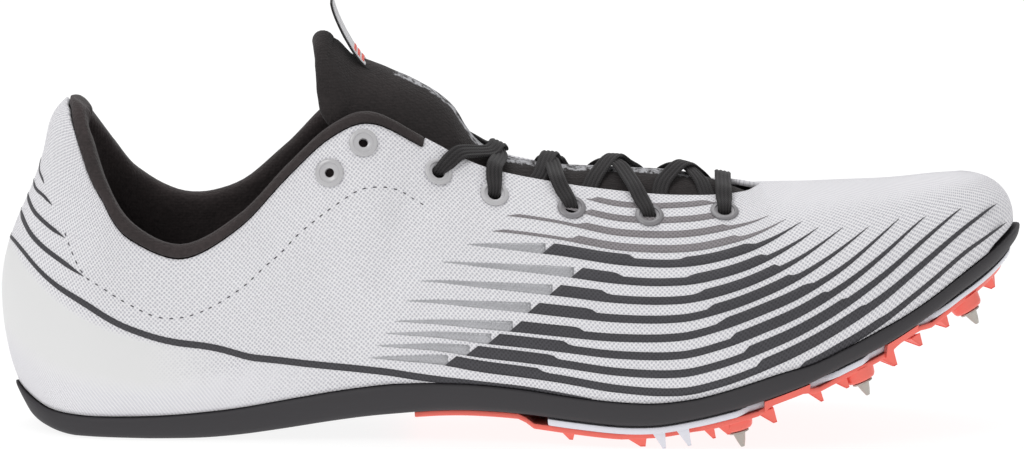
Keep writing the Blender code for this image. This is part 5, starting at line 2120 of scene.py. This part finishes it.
def make_lace():
    route = lace_route()
    points = [p for p, n, s in route]
    line, turns, squeeze = [], [], []
    for k in range(len(route) - 1):
        count = max(1, round((points[k + 1] - points[k]).length / sizes().lace_step))
        for t in range(count):
            f = t / count
            line.append(through(points, k, f))
            a, b = route[k][1], route[k + 1][1]
            turns.append((a, b if a.dot(b) > -0.2 else -b, f))
            squeeze.append(route[k][2] + (route[k + 1][2] - route[k][2]) * f)
    for _ in range(LACE_EVENED):
        line = [line[0]] + [
            (line[k - 1] + line[k] * 2 + line[k + 1]) / 4 for k in range(1, len(line) - 1)
        ] + [line[-1]]
    ways = []
    for k, here in enumerate(line):
        along = (line[min(k + 1, len(line) - 1)] - line[max(k - 1, 0)]).normalized()
        a, b, f = turns[k]
        across = along.cross(a.lerp(b, f)).normalized()
        if ways and across.dot(ways[-1]) < 0:
            across = -across
        ways.append(across)
    for _ in range(TWIST_EVENED):
        ways = [ways[0]] + [
            (ways[k - 1] + ways[k] * 2 + ways[k + 1]).normalized() for k in range(1, len(ways) - 1)
        ] + [ways[-1]]

    def spot(c, r):
        here = line[c]
        along = (line[min(c + 1, len(line) - 1)] - line[max(c - 1, 0)]).normalized()
        across = (ways[c] - along * ways[c].dot(along)).normalized()
        normal = across.cross(along)
        angle = 2 * math.pi * (r % LACE_AROUND) / LACE_AROUND
        share = math.copysign(abs(math.cos(angle)) ** 0.75, math.cos(angle))
        tall = math.copysign(abs(math.sin(angle)) ** 0.45, math.sin(angle))
        ribs = 0.78 - 0.22 * math.cos(4 * math.pi * (share + 1))
        wide = 0.5 * (LACE_WIDTH - 0.2) * squeeze[c] * share
        high = 0.5 * LACE_THICKNESS * (1.0 + 1.2 * (1.0 - squeeze[c])) * tall * ribs
        return in_metres(here + across * wide + normal * high)

    def uv(c, r):
        share = math.cos(2 * math.pi * (r % LACE_AROUND) / LACE_AROUND)
        wide = math.copysign(abs(share) ** 0.75, share) * 0.5 * LACE_WIDTH
        return (wide * 0.001, c * sizes().lace_step * 0.001)

    bm = solid(len(line) - 1, LACE_AROUND, spot, uv)
    nodes = ["lace_bar"] + ["lace_cross_%d" % (k + 1) for k in range(len(CROSSINGS))]
    finish("lace", bm, [shared("braided_polyester", lace_material)], nodes)


# The stage
def make_stage():
    shades = colours()
    bm = bmesh.new()
    bmesh.ops.create_grid(bm, x_segments=8, y_segments=8, size=4.0)
    for vert in bm.verts:
        vert.co.z = -0.0001
    mesh = bpy.data.meshes.new("studio_floor")
    bm.to_mesh(mesh)
    bm.free()
    floor = put("studio_floor", mesh)
    # White paper lit from behind: it gives the eye only the shoe's own soft shade.
    made, tree, shader = new_material(
        "floor_paper", shades.floor, rough=0.9, emission_strength=0.88,
        emission_color=(1.0, 1.0, 1.0, 1.0))
    mesh.materials.append(made)

    world = bpy.data.worlds.new("studio_air")
    world.use_nodes = True
    air = world.node_tree.nodes["Background"]
    air.inputs["Color"].default_value = (1.0, 1.0, 1.0, 1.0)
    air.inputs["Strength"].default_value = 0.5
    bpy.context.scene.world = world

    for name, spot, size, power in (
        ("key_light", (-1.1, -1.3, 1.7), 0.9, 15.0),
        ("fill_light", (1.5, -1.3, 0.8), 1.4, 2.5),
        ("top_light", (-0.2, 0.5, 1.9), 1.4, 11.0),
        ("rim_light", (0.7, 1.6, 1.0), 1.2, 4.0),
    ):
        lamp = bpy.data.lights.new(name, "AREA")
        lamp.energy = power
        lamp.size = size
        thing = put(name, lamp)
        thing.location = spot
        thing.rotation_mode = "QUATERNION"
        aim = Vector((0.0, 0.0, 0.04)) - Vector(spot)
        thing.rotation_quaternion = aim.to_track_quat("-Z", "Y")

    lens = bpy.data.cameras.new("photo_camera")
    lens.sensor_width = 36.0
    lens.lens = 36.0 * VIEW_DISTANCE / VIEW_WIDTH
    lens.clip_end = 40.0
    camera = put("photo_camera", lens)
    back = Vector((0.0, -math.cos(VIEW_RISE), math.sin(VIEW_RISE)))
    camera.location = Vector(VIEW_TARGET) + back * VIEW_DISTANCE
    camera.rotation_mode = "QUATERNION"
    roll = Quaternion((0.0, 0.0, 1.0), VIEW_ROLL)
    camera.rotation_quaternion = (-back).to_track_quat("-Z", "Y") @ roll
    bpy.context.scene.camera = camera
    bpy.context.scene.view_settings.view_transform = "Standard"


# The add-on
class TRACKSPIKE_OT_stage(bpy.types.Operator):
    """Floor, light and the photograph's camera"""
    bl_idname = "trackspike.stage"
    bl_label = "Stage"

    def execute(self, context):
        make_stage()
        return {"FINISHED"}


class TRACKSPIKE_OT_upper(bpy.types.Operator):
    """The mesh upper with its lining"""
    bl_idname = "trackspike.upper"
    bl_label = "Upper"

    def execute(self, context):
        make_upper()
        return {"FINISHED"}


class TRACKSPIKE_OT_print(bpy.types.Operator):
    """Stripes and heel lines"""
    bl_idname = "trackspike.print"
    bl_label = "Print"

    def execute(self, context):
        make_print()
        return {"FINISHED"}


class TRACKSPIKE_OT_stitches(bpy.types.Operator):
    """Punched line below the collar"""
    bl_idname = "trackspike.stitches"
    bl_label = "Stitches"

    def execute(self, context):
        make_stitches()
        return {"FINISHED"}


class TRACKSPIKE_OT_collar(bpy.types.Operator):
    """Padded collar"""
    bl_idname = "trackspike.collar"
    bl_label = "Collar"

    def execute(self, context):
        make_collar()
        return {"FINISHED"}


class TRACKSPIKE_OT_sole(bpy.types.Operator):
    """Midsole, footbed, plate and outsole"""
    bl_idname = "trackspike.sole"
    bl_label = "Sole"

    def execute(self, context):
        make_sole()
        return {"FINISHED"}


class TRACKSPIKE_OT_spikes(bpy.types.Operator):
    """Six steel spikes"""
    bl_idname = "trackspike.spikes"
    bl_label = "Spikes"

    def execute(self, context):
        make_spikes()
        return {"FINISHED"}


class TRACKSPIKE_OT_tongue(bpy.types.Operator):
    """Padded tongue and pull tab"""
    bl_idname = "trackspike.tongue"
    bl_label = "Tongue"

    def execute(self, context):
        make_tongue()
        make_tongue_rim()
        make_tab()
        return {"FINISHED"}


class TRACKSPIKE_OT_eyelets(bpy.types.Operator):
    """Fourteen moulded rings"""
    bl_idname = "trackspike.eyelets"
    bl_label = "Eyelets"

    def execute(self, context):
        make_eyelets()
        return {"FINISHED"}


class TRACKSPIKE_OT_lace(bpy.types.Operator):
    """One flat lace through the eyelets"""
    bl_idname = "trackspike.lace"
    bl_label = "Lace"

    def execute(self, context):
        make_lace()
        return {"FINISHED"}


PIECES = (
    TRACKSPIKE_OT_stage,
    TRACKSPIKE_OT_upper,
    TRACKSPIKE_OT_print,
    TRACKSPIKE_OT_stitches,
    TRACKSPIKE_OT_collar,
    TRACKSPIKE_OT_sole,
    TRACKSPIKE_OT_spikes,
    TRACKSPIKE_OT_tongue,
    TRACKSPIKE_OT_eyelets,
    TRACKSPIKE_OT_lace,
)


class TRACKSPIKE_PT_panel(bpy.types.Panel):
    bl_label = "Track Spike"
    bl_idname = "TRACKSPIKE_PT_panel"
    bl_space_type = "VIEW_3D"
    bl_region_type = "UI"
    bl_category = "Track Spike"

    def draw(self, context):
        self.layout.operator("trackspike.stage")
        self.layout.operator("trackspike.upper")
        self.layout.operator("trackspike.print")
        self.layout.operator("trackspike.stitches")
        self.layout.operator("trackspike.collar")
        self.layout.operator("trackspike.sole")
        self.layout.operator("trackspike.spikes")
        self.layout.operator("trackspike.tongue")
        self.layout.operator("trackspike.eyelets")
        self.layout.operator("trackspike.lace")


def register():
    for part in (TrackSpikeColours, TrackSpikeSizes, *PIECES, TRACKSPIKE_PT_panel):
        bpy.utils.register_class(part)
    bpy.types.Scene.track_spike_colours = PointerProperty(type=TrackSpikeColours)
    bpy.types.Scene.track_spike_sizes = PointerProperty(type=TrackSpikeSizes)


def unregister():
    del bpy.types.Scene.track_spike_colours
    del bpy.types.Scene.track_spike_sizes
    for part in (TrackSpikeColours, TrackSpikeSizes, *PIECES, TRACKSPIKE_PT_panel):
        bpy.utils.unregister_class(part)


def main():
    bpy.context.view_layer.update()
    register()
    bpy.ops.trackspike.stage()
    bpy.ops.trackspike.upper()
    bpy.ops.trackspike.print()
    bpy.ops.trackspike.stitches()
    bpy.ops.trackspike.collar()
    bpy.ops.trackspike.sole()
    bpy.ops.trackspike.spikes()
    bpy.ops.trackspike.tongue()
    bpy.ops.trackspike.eyelets()
    bpy.ops.trackspike.lace()


if __name__ == "__main__":
    main()
